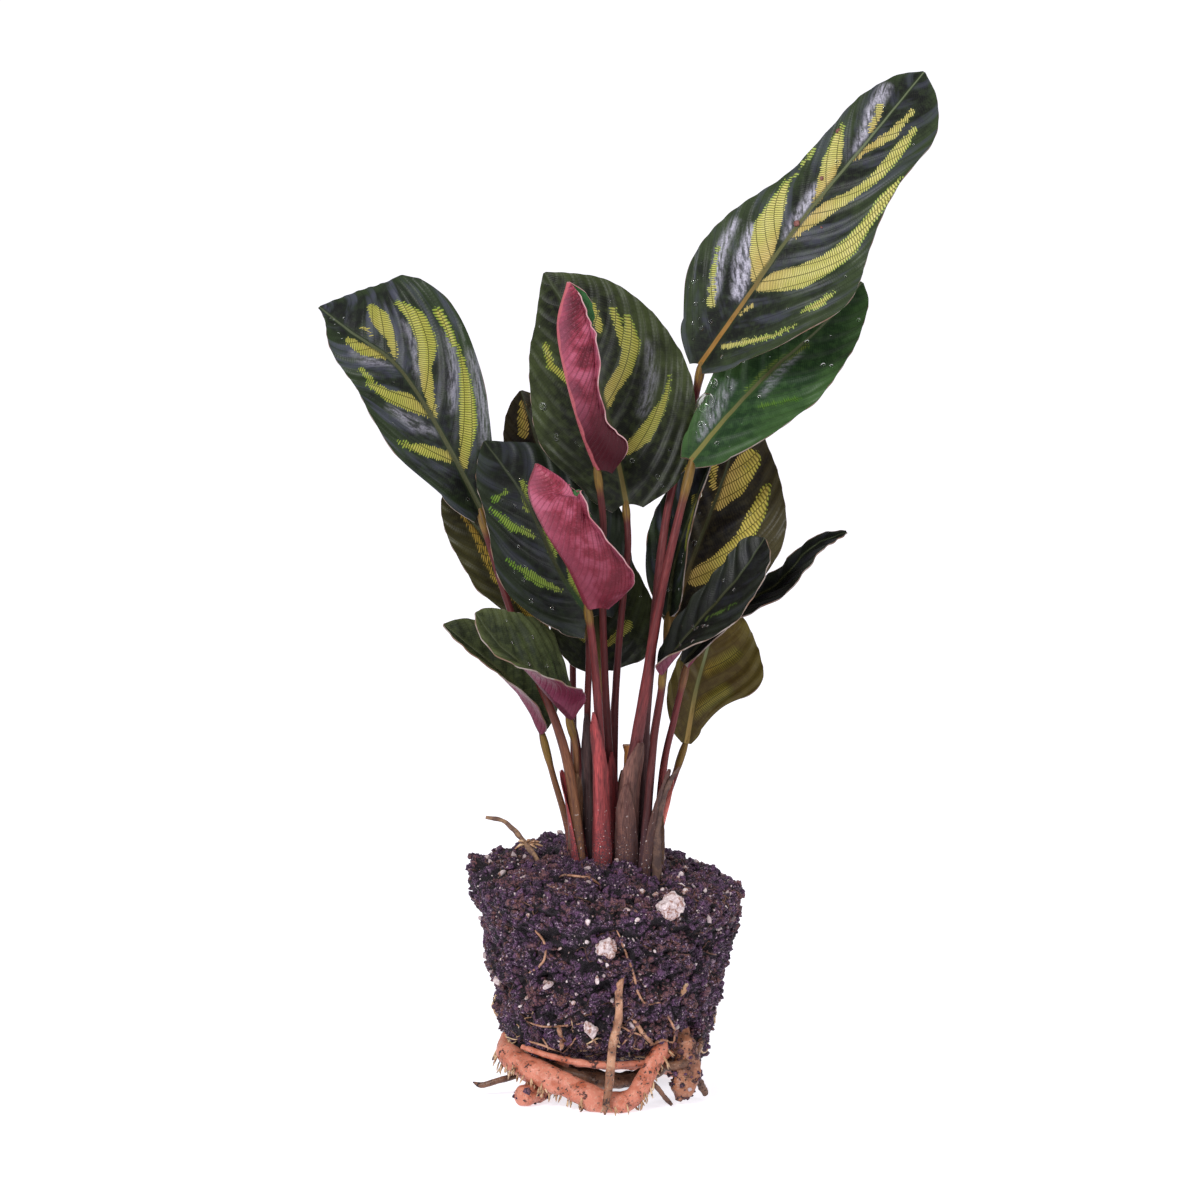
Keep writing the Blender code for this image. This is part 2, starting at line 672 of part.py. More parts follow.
def back_root_route():
    """The root that circles the back of the ball's foot, with both ends lifted into the soil."""
    first, last = ROOT_BACK_ANGLES
    points = []
    for i in range(ROOT_SAMPLES + 1):
        share = i / ROOT_SAMPLES
        turn = math.radians(first + (last - first) * share)
        lift = ROOT_BACK_LIFT * abs(2 * share - 1) ** 4
        points.append(
            (ROOT_BACK_RADIUS * math.cos(turn), ROOT_BACK_RADIUS * math.sin(turn), 2.7 + lift)
        )
    return points


def build_root(name, points, radii, colour, soil, plant, cutters):
    piece = tube(points, radii, ROOT_SAMPLES)
    flatten_foot(piece)
    finish(piece, name, colour, 0.6, plant)
    groove = tube(points, [radius + GAP for radius in radii], ROOT_SAMPLES)
    cut(soil, as_cutter(groove, name + "_groove", cutters), name)


def main():
    for old in list(bpy.data.objects):
        bpy.data.objects.remove(old)
    plant = bpy.data.collections.new("potted_calathea")
    cutters = bpy.data.collections.new("cutters")
    for collection in (plant, cutters):
        bpy.context.scene.collection.children.link(collection)
    cutters.hide_render = True

    soil = build_soil(plant)
    for name, blade in LEAVES.items():
        build_blade(name, blade, plant)
    for name, plan in STEMS.items():
        build_stem(name, plan, soil, plant, cutters)
    for name, plan, samples, colour in (
        ("cut_stem", CUT_STEM, 5, SHEATH_BROWN),
        ("dry_bract", DRY_BRACT, 7, SHEATH_BROWN),
    ):
        route = standing_route(plan["foot"], plan["via"])
        build_standing(name, route, plan["radii"], samples, colour, soil, plant, cutters)
    for name, (points, radii, colour) in ROOTS.items():
        build_root(name, points, radii, colour, soil, plant, cutters)
    back = back_root_route()
    build_root("root_back", back, [ROOT_BACK_HALF_WIDTH] * len(back), ROOT_ORANGE, soil, plant, cutters)
    twig = tube(TWIG, TWIG_RADII, ROOT_SAMPLES)
    finish(twig, "twig", SHEATH_BROWN, 0.7, plant)
    twig_hole = tube(TWIG, [radius + GAP for radius in TWIG_RADII], ROOT_SAMPLES)
    cut(soil, as_cutter(twig_hole, "twig_hole", cutters), "twig")
    for name, (middle, radius) in PERLITE.items():
        build_grain(name, middle, radius, plant)
        socket = build_grain(name + "_socket", middle, radius, cutters, GAP)
        cut(soil, as_cutter(socket, name + "_socket", cutters), name)


main()
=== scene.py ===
# %% [markdown]
# # A young calathea on its bare root ball
# The plant has been lifted out of a small round nursery pot. What is left is a ball of damp peat held
# together by roots, thin red stems that come up in a bundle from its middle, and broad leaves painted
# with yellow-green feathers above and crimson below. The solid model gives every piece its place. This
# script gives each one its fine shape and its finish, in the same frame.

# %% Open the frame
import math

import bmesh
import bpy
import numpy as np
from mathutils import Matrix, Vector, noise
from mathutils.bvhtree import BVHTree


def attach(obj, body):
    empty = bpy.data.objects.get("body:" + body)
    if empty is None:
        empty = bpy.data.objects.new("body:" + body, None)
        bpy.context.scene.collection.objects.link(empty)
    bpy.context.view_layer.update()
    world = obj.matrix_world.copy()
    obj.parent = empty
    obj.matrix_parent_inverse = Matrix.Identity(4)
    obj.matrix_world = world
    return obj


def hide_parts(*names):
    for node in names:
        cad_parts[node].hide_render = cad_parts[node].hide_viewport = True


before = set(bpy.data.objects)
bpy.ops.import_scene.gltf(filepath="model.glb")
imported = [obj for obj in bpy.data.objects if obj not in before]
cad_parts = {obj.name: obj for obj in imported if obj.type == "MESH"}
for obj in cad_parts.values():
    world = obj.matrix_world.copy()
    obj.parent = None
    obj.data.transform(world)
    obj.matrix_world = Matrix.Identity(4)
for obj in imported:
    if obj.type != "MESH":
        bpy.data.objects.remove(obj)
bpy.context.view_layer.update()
MM = 0.001
print("solids in the frame:", len(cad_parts))

# %% [markdown]
# The camera stands 1.6 metres in front of the plant, a little above its top, and looks slightly down.
# From so far away the leaves hardly shrink with distance, so a long lens brings them near. A camera's aim
# is two turns: upright along +Y, which is 90 degrees about X, and then down by the small angle.

# %% Camera
BALL_X, BALL_Y = -6.2, -2.6
CAMERA_PLACE = (-8.2, -1602.6, 381.0)
CAMERA_DOWN = 7.864
LENS = 150.95

bpy.ops.object.camera_add(location=[value * MM for value in CAMERA_PLACE])
camera = bpy.context.object
camera.rotation_euler = (math.radians(90 - CAMERA_DOWN), 0, 0)
camera.data.lens = LENS
camera.data.sensor_width = 36.0
camera.data.clip_end = 200.0
bpy.context.scene.camera = camera
bpy.context.scene.view_settings.view_transform = "Standard"
print("camera", camera.location)

# %% [markdown]
# The plant stands on a plain white sheet under a white dome, with two large soft lamps. The sheet runs far
# back, so that no edge shows behind the plant. It glows faintly, as a light table does, which keeps the
# shadow under the roots soft and pale.

# %% Helpers for node materials
def new_finish(name):
    made = bpy.data.materials.new(name)
    made.use_nodes = True
    return made, made.node_tree, made.node_tree.nodes["Principled BSDF"]


def add(tree, kind, inputs=None, **settings):
    """A new node, with its settings, and its inputs given as numbers or as other nodes' outputs."""
    made = tree.nodes.new(kind)
    for name, value in settings.items():
        setattr(made, name, value)
    for name, value in (inputs or {}).items():
        if isinstance(value, bpy.types.NodeSocket):
            tree.links.new(value, made.inputs[name])
        else:
            made.inputs[name].default_value = value
    return made


def calc(tree, what, first, second=0.0, third=0.0):
    return add(tree, "ShaderNodeMath", {0: first, 1: second, 2: third}, operation=what).outputs[0]


def ease(tree, value, low, high, to_low=0.0, to_high=1.0):
    """Turns a value's stretch from low to high into a soft step."""
    step = add(
        tree,
        "ShaderNodeMapRange",
        {"Value": value, "From Min": low, "From Max": high, "To Min": to_low, "To Max": to_high},
        interpolation_type="SMOOTHSTEP",
    )
    return step.outputs["Result"]


def paint(tree, share, below, above, way="MIX"):
    """Lays one colour over another by a share from 0 to 1."""
    mixer = add(tree, "ShaderNodeMix", {0: share}, data_type="RGBA", blend_type=way, clamp_factor=True)
    for slot, colour in ((6, below), (7, above)):
        if isinstance(colour, bpy.types.NodeSocket):
            tree.links.new(colour, mixer.inputs[slot])
        else:
            mixer.inputs[slot].default_value = (*colour, 1.0)
    return mixer.outputs[2]


def grain(tree, size_mm, detail=3.0, where=None, rough=0.55):
    """Cloudy noise whose lumps are about the given size, read in the object's own place."""
    place = where or add(tree, "ShaderNodeTexCoord").outputs["Object"]
    scale = 1.0 / (size_mm * (MM if where is None else 1.0))
    made = add(tree, "ShaderNodeTexNoise", {"Vector": place, "Scale": scale, "Detail": detail, "Roughness": rough})
    return made.outputs["Fac"]


def link(tree, output, shader, name):
    tree.links.new(output, shader.inputs[name])


def split(tree, name):
    """The three numbers that every point of a piece carries under a name."""
    kept = add(tree, "ShaderNodeAttribute", attribute_name=name)
    return add(tree, "ShaderNodeSeparateXYZ", {0: kept.outputs["Vector"]}).outputs


def dice(tree, seed):
    """A random number from 0 to 1 that is the same wherever the seed is."""
    return add(tree, "ShaderNodeTexWhiteNoise", {"W": seed}, noise_dimensions="1D").outputs["Value"]


def off_line(tree, value, low, high):
    """0 on a line at every whole number, and 1 away from it."""
    return ease(tree, calc(tree, "PINGPONG", value, 0.5), low, high)


def times(tree, *values):
    """The product of any number of values."""
    made = values[0]
    for value in values[1:]:
        made = calc(tree, "MULTIPLY", made, value)
    return made


def bump(tree, shader, height, strength, depth_mm):
    made = add(tree, "ShaderNodeBump", {"Height": height, "Strength": strength, "Distance": depth_mm * MM})
    link(tree, made.outputs["Normal"], shader, "Normal")
    return made


# %% Floor, dome and lamps
FLOOR_HALF = 40.0
DOME = 0.62
LAMPS = (
    ((-0.62, -1.0, 0.85), 0.4, 14.0),
    ((0.95, -0.6, 0.7), 0.6, 5.0),
)

bpy.ops.object.select_all(action="DESELECT")
bpy.ops.mesh.primitive_plane_add(size=2 * FLOOR_HALF, location=(0, 0, -0.0001))
floor = bpy.context.object
floor.name = "floor"
sheet, tree, shader = new_finish("white_sheet")
shader.inputs["Base Color"].default_value = (0.58, 0.57, 0.62, 1)
shader.inputs["Roughness"].default_value = 0.9
shader.inputs["Specular IOR Level"].default_value = 0.0
shader.inputs["Emission Color"].default_value = (0.97, 0.95, 1.0, 1)
shader.inputs["Emission Strength"].default_value = 0.74
floor.data.materials.append(sheet)

world = bpy.data.worlds.new("white_dome")
world.use_nodes = True
world.node_tree.nodes["Background"].inputs["Color"].default_value = (1, 1, 1, 1)
world.node_tree.nodes["Background"].inputs["Strength"].default_value = DOME
bpy.context.scene.world = world

AIM = Vector((0, 0, 0.17))
for place, size, power in LAMPS:
    bpy.ops.object.light_add(type="AREA", location=place)
    lamp = bpy.context.object
    lamp.data.size = size
    lamp.data.energy = power
    lamp.rotation_euler = (AIM - Vector(place)).to_track_quat("-Z", "Y").to_euler()
print("lamps:", len(LAMPS))

# %% [markdown]
# Every leaf is a sheet bent along a rib. The rib is a smooth curve through a few points. At each share of
# its length, from 0 at the base to 1 at the tip, the blade reaches out a little way to the left and right,
# is folded up along the rib, may be curled on towards its edge, and is waved. The solid blades follow this
# same formula with few faces. Here it is used again with many, so that the fine leaf stays in its place.

# %% The leaf formula
STATIONS = (0.0, 0.1, 0.25, 0.4, 0.55, 0.7, 0.85, 0.95, 1.0)
TIP_HALF = 0.5
RIB_SPREAD = 2.2


def place(point):
    """A design point, in millimetres from the ball's middle, as a place in the frame."""
    return Vector((point[0] + BALL_X, point[1] + BALL_Y, point[2])) * MM


def along(values, share):
    """A smooth curve through evenly spaced values, read at a share from 0 to 1 of its length."""
    spans = len(values) - 1
    at = min(max(share, 0.0), 1.0) * spans
    first = min(int(at), spans - 1)
    near, far = values[first], values[first + 1]
    before = values[first - 1] if first else near * 2 - far
    after = values[first + 2] if first + 2 <= spans else far * 2 - near
    k = at - first
    bend = (before * 2 - near * 5 + far * 4 - after) * k * k
    bend += (near * 3 - before - far * 3 + after) * k * k * k
    return (near * 2 + (far - before) * k + bend) * 0.5


def between(values, share):
    """Three values at base, middle and tip, read in straight runs."""
    if share < 0.5:
        return values[0] + (values[1] - values[0]) * share * 2
    return values[1] + (values[2] - values[1]) * (share * 2 - 1)


def station_value(values, share):
    """A half-width at a share of the rib's length, smooth through the stations."""
    for first in range(len(STATIONS) - 1):
        if share <= STATIONS[first + 1]:
            break
    span = STATIONS[first + 1] - STATIONS[first]
    k = (share - STATIONS[first]) / span
    last = len(STATIONS) - 1

    def slope(i):
        low, high = max(i - 1, 0), min(i + 1, last)
        return (values[high] - values[low]) / (STATIONS[high] - STATIONS[low])

    near, far = values[first], values[first + 1]
    if first == 0:
        return near + (far - near) * math.sin(k * math.pi / 2)
    ease_in = k * k * (3 - 2 * k)
    lift = (k * (1 - k) ** 2 * slope(first) - k * k * (1 - k) * slope(first + 1)) * span
    return max(near + (far - near) * ease_in + lift, 0.3)


def rib_frame(blade, share):
    """The rib's point, its direction, the way to the right edge, and the way that the upper side faces."""
    rib = [Vector(point) for point in blade["rib"]]
    step = 0.01
    point = along(rib, share)
    ahead = (along(rib, min(share + step, 1.0)) - along(rib, max(share - step, 0.0))).normalized()
    faces = Vector(blade["faces"][0]).lerp(Vector(blade["faces"][1]), share)
    upper = (faces - ahead * faces.dot(ahead)).normalized()
    return point, ahead, ahead.cross(upper), upper


def half_width(blade, share, across):
    side = "left" if across < 0 else "right"
    return station_value((blade["base_half"], *blade[side], TIP_HALF), share)


def blade_point(blade, share, across, lift=0.0):
    """A point of the upper side: share runs from base to tip, across from -1 at the left edge to 1."""
    point, ahead, right, upper = rib_frame(blade, share)
    side = "left" if across < 0 else "right"
    q = abs(across)
    half = half_width(blade, share, across)
    fold = math.radians(between(blade["fold_" + side], share))
    curl = math.radians(between(blade["curl_" + side], share))
    if abs(curl) < 0.01:
        out, up = q * half * math.cos(fold), q * half * math.sin(fold)
    else:
        out = half / curl * (math.sin(fold + curl * q) - math.sin(fold))
        up = half / curl * (math.cos(fold) - math.cos(fold + curl * q))
    height, count, start = blade["wave"]
    phase = start + (0.0 if across < 0 else 0.37)
    up += height * q * q * math.sin(math.tau * (count * share + phase)) * math.sin(math.pi * share)
    back = blade["lobe"] * q * q * max(0.0, 1 - share / 0.25) ** 2
    return point + right * math.copysign(out, across) + upper * (up + lift) - ahead * back


# %% The seventeen leaves
def leaf(rib, faces, left, right, finish="dark", **shape):
    blade = {
        "rib": rib,
        "faces": faces,
        "left": left,
        "right": right,
        "finish": finish,
        "fold_left": (14, 10, 6),
        "fold_right": (14, 10, 6),
        "curl_left": (0, 0, 0),
        "curl_right": (0, 0, 0),
        "wave": (0.0, 2.0, 0.0),
        "base_half": 1.5,
        "lobe": 0.0,
    }
    blade.update(shape)
    return blade


LEAVES = {
    "leaf_top_right": leaf(
        rib=((30, 8, 235), (45, 4, 257), (61, 4, 280), (83, 10, 306), (102, 22, 328)),
        faces=((-0.25, -1.0, 0.2), (-0.35, -1.0, 0.45)),
        left=(13, 22, 20, 14.5, 12.5, 10.5, 6.5),
        right=(13, 24, 31, 25, 19.5, 18, 9.5),
        fold_left=(34, 8, 12),
        fold_right=(30, 6, 8),
        wave=(2.2, 2.6, 0.1),
        base_half=3.0,
        lobe=1.5,
    ),
    "leaf_right_upper": leaf(
        rib=((27, -7, 206), (39, 0.6, 219.5), (53, 10, 233), (69, 19, 246), (83, 28, 260)),
        faces=((-0.1, -1.0, 0.5), (-0.2, -1.0, 0.6)),
        left=(7, 10.5, 13, 14, 13, 10, 5),
        right=(10.5, 16.5, 18, 19.5, 16, 10.5, 6),
        finish="fresh",
        wave=(2.0, 2.3, 0.4),
        base_half=3.0,
        lobe=1.5,
    ),
    "leaf_centre_top": leaf(
        finish="golden",
        rib=((6.5, -1, 191), (3, 4, 208), (-2, 10, 226), (-10, 20, 247), (-20, 30, 263)),
        faces=((0.1, -1.0, 0.15), (0.0, -1.0, 0.3)),
        left=(13, 21, 24, 22, 17.5, 10, 4),
        right=(19, 26, 29, 28.5, 24, 15, 6),
        fold_left=(10, 8, 4),
        fold_right=(8, 10, 6),
        wave=(1.5, 1.6, 0.2),
        base_half=5.0,
        lobe=2.0,
    ),
    "leaf_young_upper": leaf(
        rib=((-2, -10, 204), (-7, -13, 216), (-12, -18, 233), (-15, -22, 250), (-12, -26, 264)),
        faces=((1.0, -0.2, 0.3), (1.0, -0.1, 0.1)),
        left=(12, 9.5, 10, 13, 13.5, 10, 5.5),
        right=(7, 7, 8, 10, 11, 11, 7),
        finish="young",
        fold_left=(60, 50, 50),
        fold_right=(70, 66, 62),
        curl_left=(60, 100, 90),
        curl_right=(0, 10, 20),
        base_half=3.0,
        lobe=3.0,
    ),
    "leaf_left_top": leaf(
        finish="bright",
        rib=((-40, 5, 188), (-53, 7, 213), (-67, 12, 234), (-83, 20, 245), (-93, 28, 252)),
        faces=((0.2, -1.0, 0.2), (0.1, -1.0, 0.45)),
        left=(10, 17, 18, 15, 11, 4, 1.2),
        right=(10, 17, 23, 27, 24, 15.5, 6),
        fold_left=(16, 10, 10),
        fold_right=(14, 8, 8),
        wave=(1.8, 2.4, 0.3),
        base_half=4.0,
        lobe=2.0,
    ),
    "leaf_centre_left": leaf(
        finish="lime",
        rib=((-5, -6, 155), (-15, -6, 170), (-26, -3, 193), (-39, 3, 211)),
        faces=((0.3, -1.0, 0.25), (0.3, -1.0, 0.4)),
        left=(12, 17, 20, 18, 15, 11, 5),
        right=(20, 25, 27, 26, 22, 14, 5),
        fold_left=(12, 8, 6),
        fold_right=(4, 4, 4),
        wave=(1.2, 1.8, 0.0),
        base_half=6.0,
        lobe=4.0,
    ),
    "leaf_young_lower": leaf(
        rib=((-5, -20, 161), (-11, -26, 174), (-19, -31, 187), (-24, -35, 199), (-22, -37, 208)),
        faces=((0.9, -0.3, 0.5), (1.0, -0.3, 0.2)),
        left=(18, 18, 18, 19, 18.5, 16.5, 12),
        right=(12, 13, 14, 14, 13, 11, 7),
        finish="young",
        fold_left=(60, 52, 50),
        fold_right=(72, 68, 64),
        curl_left=(60, 95, 70),
        curl_right=(0, 8, 16),
        base_half=5.0,
        lobe=3.0,
    ),
    "leaf_left_back": leaf(
        rib=((-19, 8, 150), (-29, 12, 165), (-41, 18, 180), (-52, 26, 193)),
        faces=((0.1, -1.0, 0.3), (0.1, -1.0, 0.5)),
        left=(7, 10.5, 13, 12, 10.5, 7.5, 4),
        right=(6, 10, 11, 11, 11, 8, 4),
        finish="bronze",
    ),
    "leaf_back": leaf(
        rib=((-12, 30, 170), (-20, 38, 198), (-28, 47, 223)),
        faces=((0.0, -1.0, 0.3), (0.0, -1.0, 0.5)),
        left=(7, 11, 13, 13, 11, 8, 4),
        right=(7, 11, 13, 13, 11, 8, 4),
        finish="amber",
    ),
    "leaf_centre_low": leaf(
        finish="golden",
        rib=((-2, 12, 135), (-3, 15, 148), (-5, 20, 164), (-7, 27, 184)),
        faces=((0.0, -1.0, 0.2), (0.0, -1.0, 0.4)),
        left=(10, 14, 15, 14, 12, 9, 4),
        right=(15, 19, 20, 18, 15, 11, 4),
        fold_left=(6, 6, 6),
        fold_right=(6, 6, 6),
        base_half=4.0,
    ),
    "leaf_right_back": leaf(
        rib=((21, 11, 150), (28, 16, 171), (38, 26, 196), (46, 38, 221)),
        faces=((0.0, -1.0, 0.3), (-0.1, -1.0, 0.4)),
        left=(7, 11, 13, 14, 13, 10, 4),
        right=(12, 20, 25, 25.5, 19, 10, 4),
        fold_left=(6, 6, 6),
        fold_right=(8, 8, 8),
        wave=(1.2, 1.8, 0.5),
        finish="amber",
    ),
    "leaf_right_folded": leaf(
        finish="bright",
        rib=((20, 7, 154), (22, 6, 170), (27, 9, 186), (34, 15, 204)),
        faces=((0.1, -1.0, 0.15), (0.1, -1.0, 0.3)),
        left=(5, 9, 11, 12, 11, 8, 4),
        right=(6, 9, 11, 11, 10, 7, 4),
        fold_left=(20, 16, 16),
        fold_right=(60, 80, 85),
        curl_right=(0, 10, 20),
    ),
    "leaf_right_dark": leaf(
        rib=((17, -12, 139), (29, -19, 155), (42, -24, 171), (50, -24, 183)),
        faces=((-0.6, -0.5, 0.5), (-0.7, -0.6, 0.3)),
        left=(5, 7, 7.5, 7.5, 7.5, 7, 5),
        right=(8, 13, 15, 15, 13, 10, 6),
        finish="deep",
        fold_left=(30, 20, 20),
        fold_right=(60, 10, 10),
    ),
    "leaf_right_curled": leaf(
        rib=((25, -4, 140), (39, -4, 156), (54, -6, 165.5), (65.5, -5, 177.5), (77, 0, 182)),
        faces=((-0.4, -0.7, 0.6), (-0.2, -0.5, 0.9)),
        left=(5, 6, 5, 4, 3, 2.5, 1.5),
        right=(8, 11, 12, 11, 8.5, 5, 2.5),
        finish="deep",
        fold_left=(50, 70, 80),
        fold_right=(40, 25, 20),
    ),
    "leaf_right_low": leaf(
        rib=((26, 8, 112), (29, 9, 129), (33, 13, 143), (37, 20, 157)),
        faces=((0.1, -1.0, 0.15), (0.1, -1.0, 0.3)),
        left=(6, 9, 9, 8, 7, 5, 2),
        right=(4, 9, 17, 20, 17, 12, 7),
        finish="old",
        fold_left=(10, 6, 6),
        fold_right=(8, 8, 8),
    ),
    "leaf_front_left": leaf(
        rib=((-11, -9, 124), (-17, -15, 131), (-25, -23, 141), (-34, -30, 150), (-41, -37, 161)),
        faces=((0.3, -0.5, 0.8), (0.3, -0.7, 0.6)),
        left=(8, 11, 11, 11, 10, 8, 5),
        right=(11, 18, 21, 19, 15, 10, 5),
        finish="leafy",
        fold_left=(100, 50, 10),
        fold_right=(20, 8, 4),
    ),
    "leaf_low_left": leaf(
        rib=((-20, 2, 117), (-26, 0, 128), (-34, -2, 137), (-43, -4, 145), (-52, -7, 153)),
        faces=((0.3, -0.6, 0.7), (0.3, -0.7, 0.6)),
        left=(6, 9, 10, 9, 8, 6, 3),
        right=(8, 11, 12, 12, 10, 8, 4),
        finish="leafy",
        fold_left=(70, 45, 35),
        fold_right=(30, 20, 16),
    ),
}
print("leaves:", len(LEAVES))

# %% [markdown]
# The pattern on a leaf follows its side veins. They leave the rib at about 50 degrees and bend towards the
# tip as they near the edge. Each yellow-green feather fills a few lanes between side veins, and each lane
# is crossed by fine dark lines at right angles. The feathers of this plant are drawn here as strokes: each
# has points of (share of the rib, place across from -1 to 1, half its width in millimetres). Bands of
# painted sheen, a silvery highlight painted where the leaf shines between its feathers, are drawn in the
# same way.

# %% Feathers and painted sheen bands
FEATHERS = {
    "leaf_top_right": (
        ((0.30, -0.05, 1.0), (0.37, -0.17, 3.8), (0.45, -0.41, 4.2), (0.52, -0.62, 2.4), (0.57, -0.84, 0.7)),
        ((0.57, 0.0, 0.9), (0.62, -0.16, 2.5), (0.67, -0.41, 3.0), (0.72, -0.68, 1.7), (0.75, -0.82, 0.5)),
        ((0.78, -0.1, 1.0), (0.85, -0.38, 0.9)),
        ((0.17, -0.44, 1.1), (0.26, -0.64, 0.9), (0.33, -0.79, 0.5)),
        ((0.58, -0.8, 0.5), (0.66, -0.95, 0.6)),
        ((0.09, 0.26, 0.8), (0.16, 0.62, 1.1), (0.22, 0.79, 0.9), (0.28, 0.84, 0.7)),
        ((0.31, 0.72, 0.5), (0.36, 0.78, 1.6), (0.41, 0.8, 0.6)),
        ((0.2, 0.06, 0.7), (0.24, 0.14, 0.6)),
        (
            (0.29, 0.05, 1.3), (0.34, 0.2, 3.6), (0.39, 0.39, 4.2), (0.46, 0.55, 3.4),
            (0.53, 0.72, 2.9), (0.6, 0.82, 2.0), (0.66, 0.91, 2.2), (0.72, 0.95, 0.6),
        ),
        (
            (0.46, 0.04, 0.6), (0.53, 0.11, 2.0), (0.58, 0.2, 2.4), (0.63, 0.38, 1.8),
            (0.69, 0.56, 1.8), (0.76, 0.59, 2.4), (0.84, 0.58, 1.0),
        ),
        ((0.7, 0.04, 0.6), (0.74, 0.11, 1.3), (0.8, 0.28, 1.7), (0.88, 0.36, 0.9)),
    ),
    "leaf_left_top": (
        ((0.53, 0.05, 0.6), (0.59, 0.21, 1.6), (0.66, 0.34, 3.0), (0.75, 0.48, 1.1)),
        ((0.3, 0.05, 0.7), (0.38, 0.15, 1.8), (0.45, 0.29, 2.0), (0.5, 0.48, 2.9), (0.56, 0.58, 2.8),
         (0.64, 0.62, 0.9)),
        ((0.14, 0.12, 1.2), (0.24, 0.57, 2.7), (0.32, 0.69, 2.2), (0.38, 0.76, 1.3), (0.45, 0.81, 0.6)),
        ((0.45, 0.76, 1.0), (0.53, 0.81, 1.5)),
        ((0.71, 0.14, 0.6), (0.66, 0.13, 0.7)),
        ((0.56, -0.03, 1.0), (0.63, -0.21, 2.2), (0.72, -0.3, 1.1)),
        ((0.5, -0.62, 0.7), (0.6, -0.66, 0.7)),
        ((0.32, -0.05, 0.9), (0.38, -0.24, 2.8), (0.43, -0.51, 2.1), (0.52, -0.75, 0.8)),
        ((0.18, -0.12, 1.6), (0.23, -0.5, 1.8), (0.28, -0.79, 0.7)),
    ),
    "leaf_centre_top": (
        ((0.44, 0.02, 1.2), (0.5, 0.14, 2.2), (0.55, 0.36, 2.2), (0.62, 0.55, 2.8), (0.7, 0.68, 1.1)),
        ((0.74, 0.59, 1.1), (0.67, 0.5, 1.5), (0.62, 0.45, 1.0)),
        ((0.24, 0.14, 2.0), (0.28, 0.37, 2.8), (0.35, 0.55, 2.0), (0.4, 0.67, 1.3), (0.47, 0.78, 0.6)),
        ((0.79, 0.41, 1.2), (0.7, 0.27, 1.2)),
        ((0.71, -0.69, 1.0), (0.63, -0.63, 1.4), (0.57, -0.41, 1.0)),
    ),
    "leaf_centre_left": (
        ((0.70, -0.84, 0.7), (0.59, -0.53, 1.6), (0.51, -0.12, 0.5)),
        ((0.47, -0.76, 0.5), (0.37, -0.47, 1.7), (0.25, -0.20, 0.8)),
        ((0.73, -0.67, 0.8), (0.74, -0.29, 0.6)),
        ((0.74, 0.12, 0.9), (0.63, -0.05, 1.3)),
        ((0.52, 0.06, 1.2), (0.46, 0.05, 2.0), (0.4, 0.02, 1.0)),
        ((0.32, 0.14, 1.1), (0.22, 0.09, 2.4), (0.13, 0.03, 1.3)),
    ),
    "leaf_right_back": (
        ((0.26, 0.15, 3.2), (0.34, 0.39, 4.2), (0.47, 0.51, 2.8), (0.58, 0.59, 3.0), (0.67, 0.71, 1.6)),
        ((0.57, 0.05, 2.0), (0.66, 0.19, 4.4), (0.76, 0.41, 4.0)),
        ((0.66, -0.95, 1.6), (0.55, -0.7, 1.6)),
        ((0.7, -0.33, 1.3), (0.63, -0.16, 1.2)),
        ((0.49, -0.95, 1.8), (0.42, -0.85, 1.7)),
    ),
    "leaf_right_folded": (((0.78, -0.05, 1.1), (0.6, 0.4, 1.9), (0.46, 0.8, 1.2)),),
    "leaf_back": (((0.92, -0.13, 1.4), (0.74, -0.35, 1.8)), ((0.5, 0.1, 1.0), (0.62, 0.5, 1.6))),
    "leaf_left_back": (
        ((0.86, -0.06, 0.5), (0.65, -0.17, 1.0), (0.43, -0.29, 0.6)),
        ((0.60, -0.30, 0.4), (0.42, -0.44, 0.9), (0.26, -0.52, 0.5)),
        ((0.05, -0.1, 2.4), (0.16, -0.3, 2.2), (0.24, -0.4, 0.6)),
    ),
    "leaf_right_upper": (
        ((0.38, -0.06, 0.9), (0.52, -0.02, 1.5), (0.66, 0.08, 1.1)),
        ((0.35, 0.36, 0.7), (0.47, 0.74, 0.8)),
    ),
    "leaf_centre_low": (((0.2, 0.1, 1.0), (0.34, 0.5, 2.0)), ((0.22, -0.1, 0.9), (0.36, -0.5, 1.8))),
    "leaf_right_low": (((0.2, 0.15, 1.2), (0.38, 0.55, 2.4)), ((0.5, 0.1, 1.6), (0.66, 0.5, 1.8))),
    "leaf_front_left": (((0.45, 0.15, 0.5), (0.6, 0.5, 0.8)), ((0.2, 0.2, 0.5), (0.36, 0.6, 0.9))),
    "leaf_low_left": (((0.4, -0.1, 0.5), (0.55, -0.5, 0.7)),),
    "leaf_right_dark": (((0.4, 0.2, 0.4), (0.58, 0.6, 0.6)),),
}
